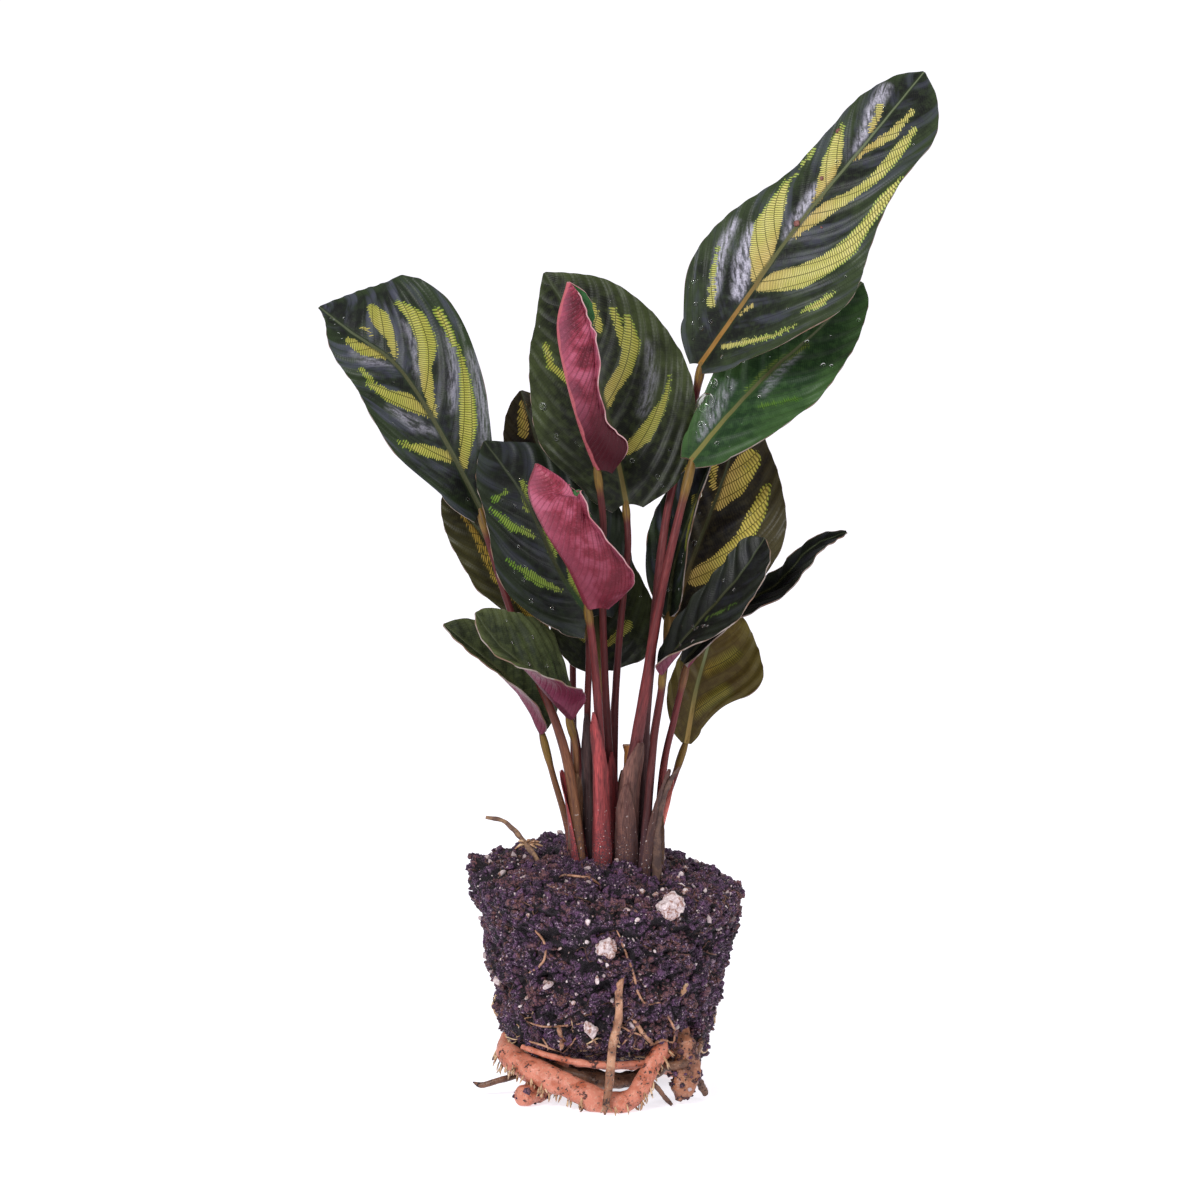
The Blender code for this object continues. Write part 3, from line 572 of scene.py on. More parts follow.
# Painted sheen: silvery highlights painted onto the leaves where they shine, given as strokes like the feathers.
PAINTED_SHEEN = {
    "leaf_top_right": (
        ((0.41, -0.83, 1.4), (0.32, -0.7, 2.2), (0.22, -0.5, 1.9), (0.18, -0.44, 0.8)),
        ((0.42, -0.57, 1.9), (0.33, -0.34, 3.4), (0.24, -0.13, 2.6)),
        ((0.6, -0.24, 1.3), (0.53, -0.09, 2.4), (0.46, -0.02, 1.6)),
        ((0.9, -0.7, 2.2), (0.82, -0.44, 2.2), (0.72, -0.05, 1.4)),
    ),
    "leaf_left_top": (
        ((0.58, 0.45, 1.2), (0.51, 0.31, 1.8), (0.45, 0.15, 1.2)),
        ((0.49, 0.74, 1.2), (0.39, 0.62, 2.0), (0.3, 0.36, 1.6)),
        ((0.51, -0.08, 0.9), (0.6, -0.39, 2.0), (0.67, -0.48, 1.2)),
        ((0.26, -0.05, 1.1), (0.31, -0.36, 2.4), (0.39, -0.6, 1.6)),
        ((0.4, 0.93, 1.6), (0.25, 0.9, 2.2), (0.16, 0.8, 1.8)),
    ),
    "leaf_centre_top": (((0.6, 0.72, 1.2), (0.49, 0.6, 2.4), (0.38, 0.4, 2.2)),),
    "leaf_right_upper": (
        ((0.10, -0.30, 1.5), (0.22, -0.45, 3.2), (0.36, -0.50, 1.6)),
        ((0.62, 0.12, 1.2), (0.52, 0.10, 2.4), (0.40, 0.22, 1.4)),
    ),
}
PAINTED_SHEEN_STRENGTH = {"leaf_top_right": 1.0, "leaf_left_top": 0.45, "leaf_centre_top": 0.3, "leaf_right_upper": 0.4}
print("strokes drawn:", sum(len(strokes) for strokes in FEATHERS.values()))

# %% [markdown]
# A stroke only says where a feather lies. For every point of the blade, the distance into the nearest
# stroke is kept as a number, and the finish cuts the feather out where that number is above zero. The
# veins give two more numbers, one that counts across the lanes and one that counts along them.

# %% Where a point lies among strokes and veins
VEIN_START = 0.85
VEIN_END = 3.0


def vein_places(length_at, q, half):
    """Counts across the lanes (S) and along them (T), in millimetres."""
    turn = VEIN_END - VEIN_START
    lanes = length_at - half * (VEIN_START * q + turn * q**3 / 3)
    root = math.sqrt(VEIN_START * turn)
    runs = length_at + half * np.arctan(q * math.sqrt(turn / VEIN_START)) / root
    return lanes, runs


def inside_strokes(strokes, blade, length, share, across, half):
    """How deep each point lies in the nearest stroke, in millimetres, and how wide the stroke is there."""
    deep = np.full(len(share), -20.0)
    wide = np.zeros(len(share))
    here = np.stack([share * length, across * half], 1)
    for stroke in strokes:
        dots = [(s * length, a * half_width(blade, s, a), w) for s, a, w in stroke]
        for (y0, x0, w0), (y1, x1, w1) in zip(dots, dots[1:]):
            start, run = np.array((y0, x0)), np.array((y1 - y0, x1 - x0))
            k = np.clip(((here - start) @ run) / (run @ run), 0, 1)
            here_wide = w0 + (w1 - w0) * k
            inside = here_wide - np.linalg.norm(here - (start + k[:, None] * run), axis=1)
            wide = np.where(inside > deep, here_wide, wide)
            deep = np.maximum(deep, inside)
    return deep, wide


# %% [markdown]
# The upper side of a leaf is charcoal near the rib and turns dark green at the margin. The feathers are
# gold close to the rib and lime further out. Fine dark cross lines break their edges into small teeth, so
# each line's cell gets its own random push. All of this reads the numbers that the blade carries.

# %% Finish of the upper side
CROSS_LINE = 0.85
WIDER_LINES = {"leaf_upper_amber": 1.15}
LANE = 4.6
LEAF_FINISHES = {
    # ground at the rib and at the margin, feather at the rib and further out, rib, strength, softness,
    # how far the foot of the leaf is darkened as painted shade, how much slate-blue painted sheen it has in
    # places, how light the rib is
    "dark": (
        (0.0055, 0.0058, 0.0062), (0.026, 0.038, 0.016), (0.46, 0.330, 0.100), (0.45, 0.43, 0.115),
        (0.24, 0.125, 0.032), 1.0, 0.0, 0.0, 0.5, 1.0,
    ),
    "amber": (
        (0.0055, 0.0048, 0.0042), (0.040, 0.034, 0.014), (0.52, 0.360, 0.110), (0.46, 0.39, 0.070),
        (0.12, 0.070, 0.022), 1.0, 0.0, 0.2, 0.1, 0.5,
    ),
    "bronze": (
        (0.012, 0.011, 0.005), (0.036, 0.034, 0.012), (0.36, 0.22, 0.03), (0.30, 0.21, 0.03),
        (0.10, 0.060, 0.020), 0.9, 0.3, 0.0, 0.0, 0.6,
    ),
    "golden": (
        (0.0035, 0.0036, 0.0033), (0.032, 0.042, 0.014), (0.30, 0.220, 0.045), (0.27, 0.26, 0.045),
        (0.10, 0.075, 0.022), 1.0, 0.0, 0.9, 0.0, 0.4,
    ),
    "bright": (
        (0.0050, 0.0052, 0.0058), (0.019, 0.030, 0.012), (0.34, 0.270, 0.065), (0.30, 0.30, 0.050),
        (0.05, 0.055, 0.026), 1.0, 0.0, 0.2, 0.7, 0.6,
    ),
    "lime": (
        (0.0040, 0.0042, 0.0044), (0.013, 0.019, 0.009), (0.19, 0.20, 0.035), (0.13, 0.20, 0.025),
        (0.015, 0.032, 0.010), 1.0, 0.0, 0.4, 0.3, 0.3,
    ),
    "deep": (
        (0.0045, 0.0044, 0.0047), (0.010, 0.013, 0.007), (0.12, 0.12, 0.03), (0.07, 0.13, 0.02),
        (0.025, 0.028, 0.012), 0.7, 0.1, 0.7, 0.15, 0.35,
    ),
    "leafy": (
        (0.019, 0.025, 0.012), (0.070, 0.086, 0.032), (0.10, 0.10, 0.03), (0.07, 0.12, 0.03),
        (0.07, 0.065, 0.030), 0.4, 0.5, 0.2, 0.1, 0.7,
    ),
    "fresh": (
        (0.010, 0.027, 0.010), (0.034, 0.074, 0.022), (0.15, 0.17, 0.03), (0.09, 0.19, 0.02),
        (0.13, 0.12, 0.035), 0.7, 0.5, 0.2, 0.0, 0.9,
    ),
    "old": (
        (0.046, 0.029, 0.008), (0.072, 0.056, 0.012), (0.26, 0.16, 0.02), (0.18, 0.16, 0.02),
        (0.24, 0.160, 0.050), 0.7, 1.8, 0.2, 0.0, 1.4,
    ),
    "young": (
        (0.020, 0.060, 0.020), (0.030, 0.100, 0.030), (0.10, 0.20, 0.05), (0.08, 0.20, 0.04),
        (0.10, 0.15, 0.05), 0.5, 0.5, 0.0, 0.0, 0.9,
    ),
}
RIB_OLIVE = (0.075, 0.078, 0.030)
RIB_PALE = (0.100, 0.120, 0.065)
PAINTED_SHEEN_TONE = (0.40, 0.385, 0.46)
PAINTED_SLATE_SHEEN_TONE = (0.054, 0.056, 0.084)


def scaled(colour, by):
    return [value * by for value in colour]


def upper_side(name, rib_ground, margin_ground, gold, lime, rib_base, strength, soft, foot, painted_slate_sheen, rib_light):
    made, tree, shader = new_finish(name)
    lanes, cross, from_rib = split(tree, "veins")
    feather, painted_sheen, margin = split(tree, "marks")
    share, side, wide = split(tree, "runs")
    cloud = grain(tree, 13.0, 3.0)
    mottle = grain(tree, 2.2, 4.0)
    speck = grain(tree, 0.55, 3.0)
    streaks = add(tree, "ShaderNodeCombineXYZ", {0: lanes, 1: times(tree, cross, 0.28)}).outputs[0]
    streaky = grain(tree, 1.5, 4.0, where=streaks)

    lane_at = calc(tree, "DIVIDE", lanes, LANE)
    lane_no = calc(tree, "FLOOR", lane_at)
    lane_dice = dice(tree, calc(tree, "MULTIPLY_ADD", side, 40.5, lane_no))
    line_gap = WIDER_LINES.get(name, CROSS_LINE)
    cells = calc(tree, "MULTIPLY_ADD", lane_dice, 7.0, calc(tree, "DIVIDE", cross, line_gap))
    cells = calc(tree, "MULTIPLY_ADD", mottle, 0.5, cells)
    cell_dice = dice(tree, calc(tree, "MULTIPLY_ADD", lane_no, 57.0, calc(tree, "FLOOR", cells)))
    lane_line = off_line(tree, lane_at, 0.018, 0.07)
    cross_line = off_line(tree, cells, 0.10, 0.38)

    teeth = ease(tree, wide, 0.5, 2.2, 1.25, 0.42)
    push = calc(tree, "MULTIPLY_ADD", calc(tree, "SUBTRACT", cell_dice, 0.5), teeth, feather)
    push = calc(tree, "MULTIPLY_ADD", cross_line, 0.4, push)
    shown = times(tree, ease(tree, push, 0.22 - soft, 0.42 + soft), strength)

    ground_share = ease(tree, calc(tree, "MULTIPLY_ADD", cloud, 1.5, margin), 1.05, 1.85)
    ground = paint(tree, ground_share, rib_ground, margin_ground)
    ground = paint(tree, times(tree, ease(tree, feather, -1.8, 0.2), 0.4), ground, margin_ground)
    # Painted sheen: slate-blue patches along the lanes stand in for a bluish reflection of the light.
    painted_slate_sheen_cloud = grain(tree, 8.0, 3.0, where=streaks)
    ground = paint(tree, times(tree, ease(tree, painted_slate_sheen_cloud, 0.47, 0.64), painted_slate_sheen), ground, PAINTED_SLATE_SHEEN_TONE)
    # Painted shade: the ground darkens towards the foot of the leaf, where it sits among the other leaves.
    ground = paint(tree, ease(tree, share, 0.5, 0.15, 0.0, foot), ground, scaled(rib_ground, 0.5))
    ground = paint(tree, times(tree, ease(tree, mottle, 0.42, 0.66), 0.3), ground, scaled(margin_ground, 1.4))
    ground = paint(tree, ease(tree, lane_line, 0.0, 1.0, 0.4, 0.0), ground, scaled(rib_ground, 0.5))
    ground = paint(tree, ease(tree, cross_line, 0.0, 1.0, 0.10, 0.0), ground, scaled(margin_ground, 1.5))
    # Painted highlight: the silvery sheen bands are painted into the ground colour, mottled by noise.
    painted_sheen_mask = times(
        tree,
        painted_sheen,
        ease(tree, streaky, 0.36, 0.60, 0.12, 1.0),
        ease(tree, speck, 0.36, 0.64, 0.6, 1.0),
    )
    ground = paint(tree, painted_sheen_mask, ground, PAINTED_SHEEN_TONE)

    tone = paint(tree, ease(tree, calc(tree, "MULTIPLY_ADD", cloud, 0.4, margin), 0.2, 0.62), gold, lime)
    tone = paint(tree, times(tree, cell_dice, 0.4), tone, [1.3 * lime[0] + 0.02, 1.15 * lime[1] + 0.02, 1.9 * lime[2]])
    fringe = times(tree, ease(tree, feather, 1.0, 0.0), ease(tree, margin, 0.35, 0.75), 0.75)
    tone = paint(tree, fringe, tone, [0.42 * lime[0], 0.72 * lime[1], 0.4 * lime[2]])
    dark_share = ease(tree, feather, 0.0, 1.4, 0.98, 0.78)
    lines = calc(tree, "SUBTRACT", 1.0, times(tree, dark_share, calc(tree, "SUBTRACT", 1.0, cross_line)))
    tone = paint(tree, times(tree, lines, ease(tree, lane_line, 0.0, 1.0, 0.15, 1.0)), scaled(lime, 0.12), tone)
    surface = paint(tree, shown, ground, tone)

    rib_half = calc(tree, "MULTIPLY_ADD", share, -0.62, 0.85)
    past_rib = calc(tree, "SUBTRACT", from_rib, rib_half)
    surface = paint(tree, ease(tree, past_rib, 0.2, 0.9, 0.65, 0.0), surface, scaled(margin_ground, 0.7))
    rib_tone = paint(tree, ease(tree, share, 0.1, 0.42), rib_base, scaled(RIB_OLIVE, rib_light))
    rib_tone = paint(tree, ease(tree, share, 0.45, 0.8), rib_tone, scaled(RIB_PALE, rib_light))
    surface = paint(tree, ease(tree, past_rib, -0.14, 0.1, 1.0, 0.0), surface, rib_tone)
    link(tree, surface, shader, "Base Color")

    link(tree, calc(tree, "MULTIPLY_ADD", speck, 0.16, calc(tree, "MULTIPLY_ADD", shown, 0.08, 0.29)), shader, "Roughness")
    shader.inputs["Specular IOR Level"].default_value = 0.13
    relief = calc(tree, "MULTIPLY_ADD", cross_line, 0.22, times(tree, lane_line, 0.3))
    bump(tree, shader, calc(tree, "MULTIPLY_ADD", speck, 0.4, relief), 0.5, 0.14)
    return made


# %% Finish of the underside and the rim
CRIMSON = (0.225, 0.022, 0.042)
CRIMSON_DEEP = (0.080, 0.007, 0.014)
ROSE = (0.38, 0.100, 0.160)


def underside(name, base, deep, pale, rib_tone, painted_foot_shade, cloud_size, cloud_share):
    made, tree, shader = new_finish(name)
    lanes, cross, from_rib = split(tree, "veins")
    margin = split(tree, "marks")[2]
    share = split(tree, "runs")[0]
    lane_line = off_line(tree, calc(tree, "DIVIDE", lanes, LANE / 2), 0.02, 0.2)
    cross_line = off_line(tree, calc(tree, "DIVIDE", cross, CROSS_LINE), 0.05, 0.3)
    cloud = grain(tree, cloud_size, 4.0)
    speck = grain(tree, 0.6, 3.0)
    tone = paint(tree, ease(tree, cloud, 0.36, 0.68, 0.0, cloud_share), base, deep)
    tone = paint(tree, times(tree, ease(tree, cloud, 0.52, 0.34), 0.7), tone, pale)
    tone = paint(tree, times(tree, ease(tree, speck, 0.5, 0.72), 0.3), tone, pale)
    tone = paint(tree, ease(tree, margin, 0.84, 1.0, 0.0, 0.55), tone, pale)
    tone = paint(tree, ease(tree, lane_line, 0.0, 1.0, 0.5, 0.0), tone, deep)
    tone = paint(tree, ease(tree, cross_line, 0.0, 1.0, 0.14, 0.0), tone, deep)
    tone = paint(tree, ease(tree, margin, 0.05, 0.5, 0.35, 0.0), tone, pale)
    # Painted shade: the underside darkens towards the foot of the leaf.
    tone = paint(tree, ease(tree, share, 0.62, 0.16, 0.0, painted_foot_shade), tone, deep)
    tone = paint(tree, ease(tree, from_rib, 0.5, 0.9, 0.85, 0.0), tone, rib_tone)
    link(tree, tone, shader, "Base Color")
    shader.inputs["Roughness"].default_value = 0.34
    shader.inputs["Specular IOR Level"].default_value = 0.17
    relief = calc(tree, "MULTIPLY_ADD", lane_line, 0.8, times(tree, cross_line, 0.3))
    bump(tree, shader, calc(tree, "MULTIPLY_ADD", speck, 0.3, relief), 0.6, 0.2)
    return made


def rim_finish(name, tan, pale):
    made, tree, shader = new_finish(name)
    link(tree, paint(tree, ease(tree, grain(tree, 6.0, 2.0), 0.4, 0.62), tan, pale), shader, "Base Color")
    shader.inputs["Roughness"].default_value = 0.5
    return made


upper_finishes = {name: upper_side("leaf_upper_" + name, *tones) for name, tones in LEAF_FINISHES.items()}
maroon_under = underside(
    "leaf_under_maroon",
    (0.145, 0.023, 0.049),
    (0.065, 0.008, 0.017),
    (0.22, 0.055, 0.105),
    (0.06, 0.01, 0.02),
    painted_foot_shade=0.3,
    cloud_size=18.0,
    cloud_share=0.55,
)
young_unders = {
    "leaf_young_upper": underside(
        "leaf_under_crimson", CRIMSON, (0.040, 0.004, 0.008), ROSE, (0.36, 0.085, 0.10), 1.0, 8.0, 0.9
    ),
    "leaf_young_lower": underside(
        "leaf_under_rose", CRIMSON, CRIMSON_DEEP, ROSE, (0.13, 0.02, 0.03), 0.55, 8.0, 0.9
    ),
}
tan_rim = rim_finish("leaf_rim_tan", (0.13, 0.07, 0.04), (0.22, 0.18, 0.16))
rose_rim = rim_finish("leaf_rim_rose", (0.34, 0.11, 0.13), (0.42, 0.24, 0.25))

# %% [markdown]
# A blade starts as a flat grid. Its points are moved onto the formula, with soft ridges between the side
# veins and a fine ruffle along the edge. Solidify then gives the sheet a wall on its underside, thicker
# along the rib near the base, and hands the underside and the rim their own finishes.

# %% Shape the blades
BLADE_COLUMNS = 60
BLADE_ROWS = 132
BLADE_WALL = 0.4
RIB_WALL = 2.0
QUILT = 0.32
RUFFLE = 0.35
BODY = "root"


def row_share(step):
    return 0.4 * step + 0.3 * (1 - math.cos(math.pi * step))


def set_numbers(piece, name, rows):
    """Keeps three numbers on every point of a piece, for its finish to read."""
    kept = piece.data.attributes.new(name, "FLOAT_VECTOR", "POINT")
    kept.data.foreach_set("vector", np.asarray(rows, np.float32).ravel())


def hand_over(piece, name, slot, *nodes):
    """Names a finished piece, makes it ride with the plant, and hides the solid parts that it takes the place of. Its
    slot is not used.
    """
    piece.name = name
    piece.data.name = name
    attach(piece, BODY)
    if nodes:
        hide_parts(*nodes)
    print(name, "faces", len(piece.data.polygons))
    return piece


def apply_all(piece):
    bpy.context.view_layer.objects.active = piece
    for modifier in list(piece.modifiers):
        bpy.ops.object.modifier_apply(modifier=modifier.name)


def select_only(piece):
    bpy.ops.object.select_all(action="DESELECT")
    piece.select_set(True)
    bpy.context.view_layer.objects.active = piece


def shape_blade(name, blade, number):
    bpy.ops.object.select_all(action="DESELECT")
    bpy.ops.mesh.primitive_grid_add(x_subdivisions=BLADE_COLUMNS, y_subdivisions=BLADE_ROWS, size=2.0)
    piece = bpy.context.object
    flat = np.array([vertex.co[:2] for vertex in piece.data.vertices])
    across = flat[:, 0]
    share = np.array([row_share((y + 1) / 2) for y in flat[:, 1]])
    half = np.array([half_width(blade, s, a) for s, a in zip(share, across)])
    steps = [along([Vector(point) for point in blade["rib"]], i / 40) for i in range(41)]
    length = sum((after - before).length for before, after in zip(steps, steps[1:]))
    q = np.abs(across)
    lanes, cross = vein_places(share * length, q, half)
    rib = piece.vertex_groups.new(name="rib")
    for vertex, s, a, wide, lane in zip(piece.data.vertices, share, across, half, lanes):
        reach = abs(a)
        quilt = math.sin(math.tau * lane / (2 * LANE) + number) + 0.2 * math.sin(math.tau * lane / LANE)
        lift = QUILT * quilt * (4 * reach * (1 - reach * 0.75)) ** 0.5 * math.sin(math.pi * s) ** 0.5
        ruffle = math.sin(math.tau * (6.3 * s + 0.31 * number + (0.4 if a > 0 else 0.0)))
        lift += RUFFLE * reach**4 * ruffle * math.sin(math.pi * s) * (0.2 if blade["finish"] == "young" else 1.0)
        vertex.co = place(blade_point(blade, s, a, lift))
        weight = math.exp(-((reach * wide / RIB_SPREAD) ** 2)) * (1 - s) ** 1.5
        rib.add([vertex.index], weight, "REPLACE")
    feather, wide = inside_strokes(FEATHERS.get(name, ()), blade, length, share, across, half)
    # The painted sheen bands are kept on every point, for the finish to paint their highlight.
    painted_sheen, _ = inside_strokes(PAINTED_SHEEN.get(name, ()), blade, length, share, across, half)
    painted_sheen = np.clip((painted_sheen + 0.9) / 2.4, 0, 1) ** 1.3 * PAINTED_SHEEN_STRENGTH.get(name, 0.0)
    set_numbers(piece, "veins", np.stack([lanes, cross, q * half], 1))
    set_numbers(piece, "marks", np.stack([feather, painted_sheen, q], 1))
    set_numbers(piece, "runs", np.stack([share, np.sign(across), wide], 1))
    young = blade["finish"] == "young"
    for finish in (
        upper_finishes[blade["finish"]],
        young_unders.get(name, maroon_under),
        rose_rim if young else tan_rim,
    ):
        piece.data.materials.append(finish)
    wall = piece.modifiers.new("wall", "SOLIDIFY")
    wall.thickness = RIB_WALL * MM
    wall.offset = -1.0
    wall.vertex_group = "rib"
    wall.thickness_vertex_group = BLADE_WALL / RIB_WALL
    wall.material_offset = 1
    wall.material_offset_rim = 2
    apply_all(piece)
    select_only(piece)
    bpy.ops.object.shade_smooth_by_angle(angle=math.radians(50))
    slot = {"old": "leaf_olive", "bronze": "leaf_olive", "young": "leaf_young"}.get(blade["finish"], "leaf_green")
    return hand_over(piece, name + "_blade", slot, name)


blades = {name: shape_blade(name, blade, number) for number, (name, blade) in enumerate(LEAVES.items())}

# %% [markdown]
# Under each blade the stem swells into a short olive-yellow joint, with which the leaf turns to the light.
# Below it the stem is red and thin, and near the soil it is clasped by a sheath. A stem starts as a
# cylinder that is cut into many rings, and every ring is moved to its place on the stem's route.

# %% Routes of the stems
BALL_TOP_RADIUS = 42.5
BALL_RIM_HEIGHT = 69.0
BALL_CROWN_HEIGHT = 76.0
BALL_TILT = 0.085
BALL_TILT_BACK = 0.06
HOLE_DEPTH = 7.0
JOINT_LENGTH = 9.0


def stem(carries, foot, via, foot_radius, top_radius=1.2, colours=("olive", "wine", "wine")):
    return {"carries": carries, "foot": foot, "via": via, "radii": (foot_radius, top_radius), "colours": colours}


STEMS = {
    "stem_top_right": stem(
        "leaf_top_right",
        (12.0, -0.8),
        ((12.5, -2, 116), (15, -4, 148), (17.5, -2, 174), (20, 4, 190), (23.5, 9, 204), (27.5, 11, 219)),
        2.0,
        1.4,
        ("olive", "rosy", "brown"),
    ),
    "stem_right_upper": stem(
        "leaf_right_upper",
        (6.8, -3.5),
        ((8, -7, 103), (11, -10.5, 123), (16, -13, 155), (20, -12, 175)),
        3.3,
        1.4,
        ("olive", "rosy", "brown"),
    ),
    "stem_centre_top": stem(
        "leaf_centre_top", (2.4, 5.0), ((2.5, 3, 114), (3.5, -1, 137), (5, -6, 157), (7, -6, 178)), 1.8
    ),
    "stem_young_upper": stem(
        "leaf_young_upper",
        (1.8, 0.3),
        ((1.3, -1, 102), (0, -4, 128), (-1, -8, 155), (-1, -10, 174), (-1, -11, 188)),
        1.8,
    ),
    "stem_left_top": stem(
        "leaf_left_top",
        (-8.6, -5.0),
        ((-11.5, -6.5, 104), (-16, -7, 121), (-23, -5, 138), (-30, -1, 155), (-36, 3, 173)),
        2.1,
        1.3,
        ("olive", "wine", "tan"),
    ),
    "stem_centre_left": stem(
        "leaf_centre_left", (-5.0, 0.5), ((-5.5, 0, 102), (-6, -2, 122), (-5.5, -4, 142)), 1.7
    ),
    "stem_young_lower": stem(
        "leaf_young_lower",
        (-1.3, -5.0),
        ((-1.5, -6, 96), (-2, -8, 116), (-3, -12, 133), (-4.5, -17, 150)),
        2.7,
        1.3,
        ("olive", "rosy", "coral"),
    ),
    "stem_left_back": stem("leaf_left_back", (-5.5, 6.5), ((-9.5, 8, 112), (-15, 9, 132)), 1.6),
    "stem_back": stem("leaf_back", (-9.5, 9.0), ((-10.5, 16, 110), (-11, 26, 145)), 1.5),
    "stem_centre_low": stem("leaf_centre_low", (-1.0, 8.0), ((-1.5, 10, 112),), 1.6),
    "stem_right_back": stem("leaf_right_back", (10.5, 9.5), ((14, 10.5, 105), (18, 11, 130)), 1.8),
    "stem_right_folded": stem("leaf_right_folded", (12.6, 4.2), ((15, 3, 110), (18.5, 4, 134)), 1.8),
    "stem_right_dark": stem(
        "leaf_right_dark", (12.2, -6.8), ((15, -7, 112), (17, -9, 127)), 1.8, 1.2, ("olive", "wine", "brown")
    ),
    "stem_right_curled": stem(
        "leaf_right_curled", (16.3, 1.2), ((18.5, 0.5, 105), (22, -2, 122)), 1.7, 1.2, ("tan", "rosy", "coral")
    ),
    "stem_right_low": stem(
        "leaf_right_low", (15.5, 14.0), ((17.5, 13.5, 86), (22, 11, 100)), 1.5, 1.2, ("olive", "rosy", "coral")
    ),
    "stem_front_left": stem(
        "leaf_front_left", (-9.8, 0.2), ((-9.8, -2, 98), (-9.8, -5, 112)), 1.6, 1.2, ("olive", "tan", "tan")
    ),
    "stem_low_left": stem(
        "leaf_low_left", (-11.2, 3.8), ((-13, 3.6, 88), (-17, 2.8, 102)), 1.6, 1.2, ("olive", "tan", "coral")
    ),
}


def soil_height(x, y):
    """The height of the ball's top, which is highest in the middle and slopes down to the front right."""
    share = min(math.hypot(x, y) / BALL_TOP_RADIUS, 1.0)
    crown = BALL_CROWN_HEIGHT + (BALL_RIM_HEIGHT - BALL_CROWN_HEIGHT) * share**2
    return crown - BALL_TILT * x + BALL_TILT_BACK * y


def standing_route(foot, via):
    level = soil_height(*foot)
    return [Vector(point) for point in ((*foot, level - HOLE_DEPTH), (*foot, level + 2), *via)]


# %% Finish of the stems
STEM_TONES = {
    "olive": (0.115, 0.072, 0.018),
    "tan": (0.120, 0.058, 0.028),
    "wine": (0.064, 0.013, 0.014),
    "rosy": (0.100, 0.021, 0.023),
    "coral": (0.250, 0.060, 0.058),
    "brown": (0.050, 0.026, 0.028),
}
SOIL_BROWN = (0.050, 0.030, 0.038)


def stem_finish():
    made, tree, shader = new_finish("stem_skin")
    tone = add(tree, "ShaderNodeAttribute", attribute_name="tone").outputs["Color"]
    up, turn, _ = split(tree, "runs")
    round_x, round_y = calc(tree, "COSINE", turn), calc(tree, "SINE", turn)
    ring = {0: round_x, 1: round_y, 2: times(tree, up, 0.045)}
    thread = add(tree, "ShaderNodeCombineXYZ", ring).outputs[0]
    streak = add(tree, "ShaderNodeTexNoise", {"Vector": thread, "Scale": 2.6, "Detail": 4.0}).outputs["Fac"]
    fibre = add(tree, "ShaderNodeTexNoise", {"Vector": thread, "Scale": 8.0, "Detail": 3.0}).outputs["Fac"]
    speck = grain(tree, 0.5, 2.0)
    surface = paint(tree, ease(tree, streak, 0.35, 0.7), tone, (1.3, 1.2, 1.15), "MULTIPLY")
    surface = paint(tree, ease(tree, fibre, 0.52, 0.66, 0.0, 0.6), surface, (1.6, 1.5, 1.4), "MULTIPLY")
    surface = paint(tree, ease(tree, fibre, 0.48, 0.36, 0.0, 0.6), surface, (0.45, 0.40, 0.42), "MULTIPLY")
    surface = paint(tree, calc(tree, "MULTIPLY", ease(tree, streak, 0.5, 0.3), 0.5), surface, (0.06, 0.018, 0.018))
    dirt = calc(tree, "MULTIPLY", ease(tree, up, 22.0, 0.0), ease(tree, speck, 0.42, 0.62))
    surface = paint(tree, dirt, surface, SOIL_BROWN)
    crumbs = calc(tree, "MULTIPLY", ease(tree, up, 26.0, 2.0), ease(tree, grain(tree, 0.7, 0.0), 0.76, 0.82))
    surface = paint(tree, crumbs, surface, (0.5, 0.42, 0.40))
    link(tree, surface, shader, "Base Color")
    link(tree, calc(tree, "MULTIPLY_ADD", speck, 0.3, 0.3), shader, "Roughness")
    shader.inputs["Specular IOR Level"].default_value = 0.16
    bump(tree, shader, calc(tree, "MULTIPLY_ADD", speck, 0.4, streak), 0.5, 0.25)
    return made


stem_skin = stem_finish()

# %% Sweep a ringed cylinder along a route
def ringed_cylinder(sides, rings):
    """A closed cylinder of radius 1 from z = 0 to z = 1, with its side cut into rings."""
    bpy.ops.object.select_all(action="DESELECT")
    bpy.ops.mesh.primitive_cylinder_add(vertices=sides, radius=1.0, depth=1.0, location=(0, 0, 0.5))
    piece = bpy.context.object
    bpy.ops.object.transform_apply(location=True, rotation=True, scale=True)
    bpy.ops.object.mode_set(mode="EDIT")
    bpy.ops.mesh.select_mode(type="EDGE")
    work = bmesh.from_edit_mesh(piece.data)
    for face in work.faces:
        face.select_set(False)
    for edge in work.edges:
        edge.select_set(abs(edge.verts[0].co.z - edge.verts[1].co.z) > 0.5)
    bmesh.update_edit_mesh(piece.data)
    bpy.ops.mesh.subdivide_edgering(number_cuts=rings, interpolation="LINEAR", smoothness=0.0)
    bpy.ops.object.mode_set(mode="OBJECT")
    return piece


def frames_along(route, count):
    """Points of a smooth route with two cross directions at each that don't twist."""
    points = [along(route, i / count) for i in range(count + 1)]
    frames, side = [], Vector((1, 0, 0))
    for i, point in enumerate(points):
        ahead = (points[min(i + 1, count)] - points[max(i - 1, 0)]).normalized()
        side = (side - ahead * side.dot(ahead)).normalized()
        frames.append((point, side, ahead.cross(side), ahead))
    return frames


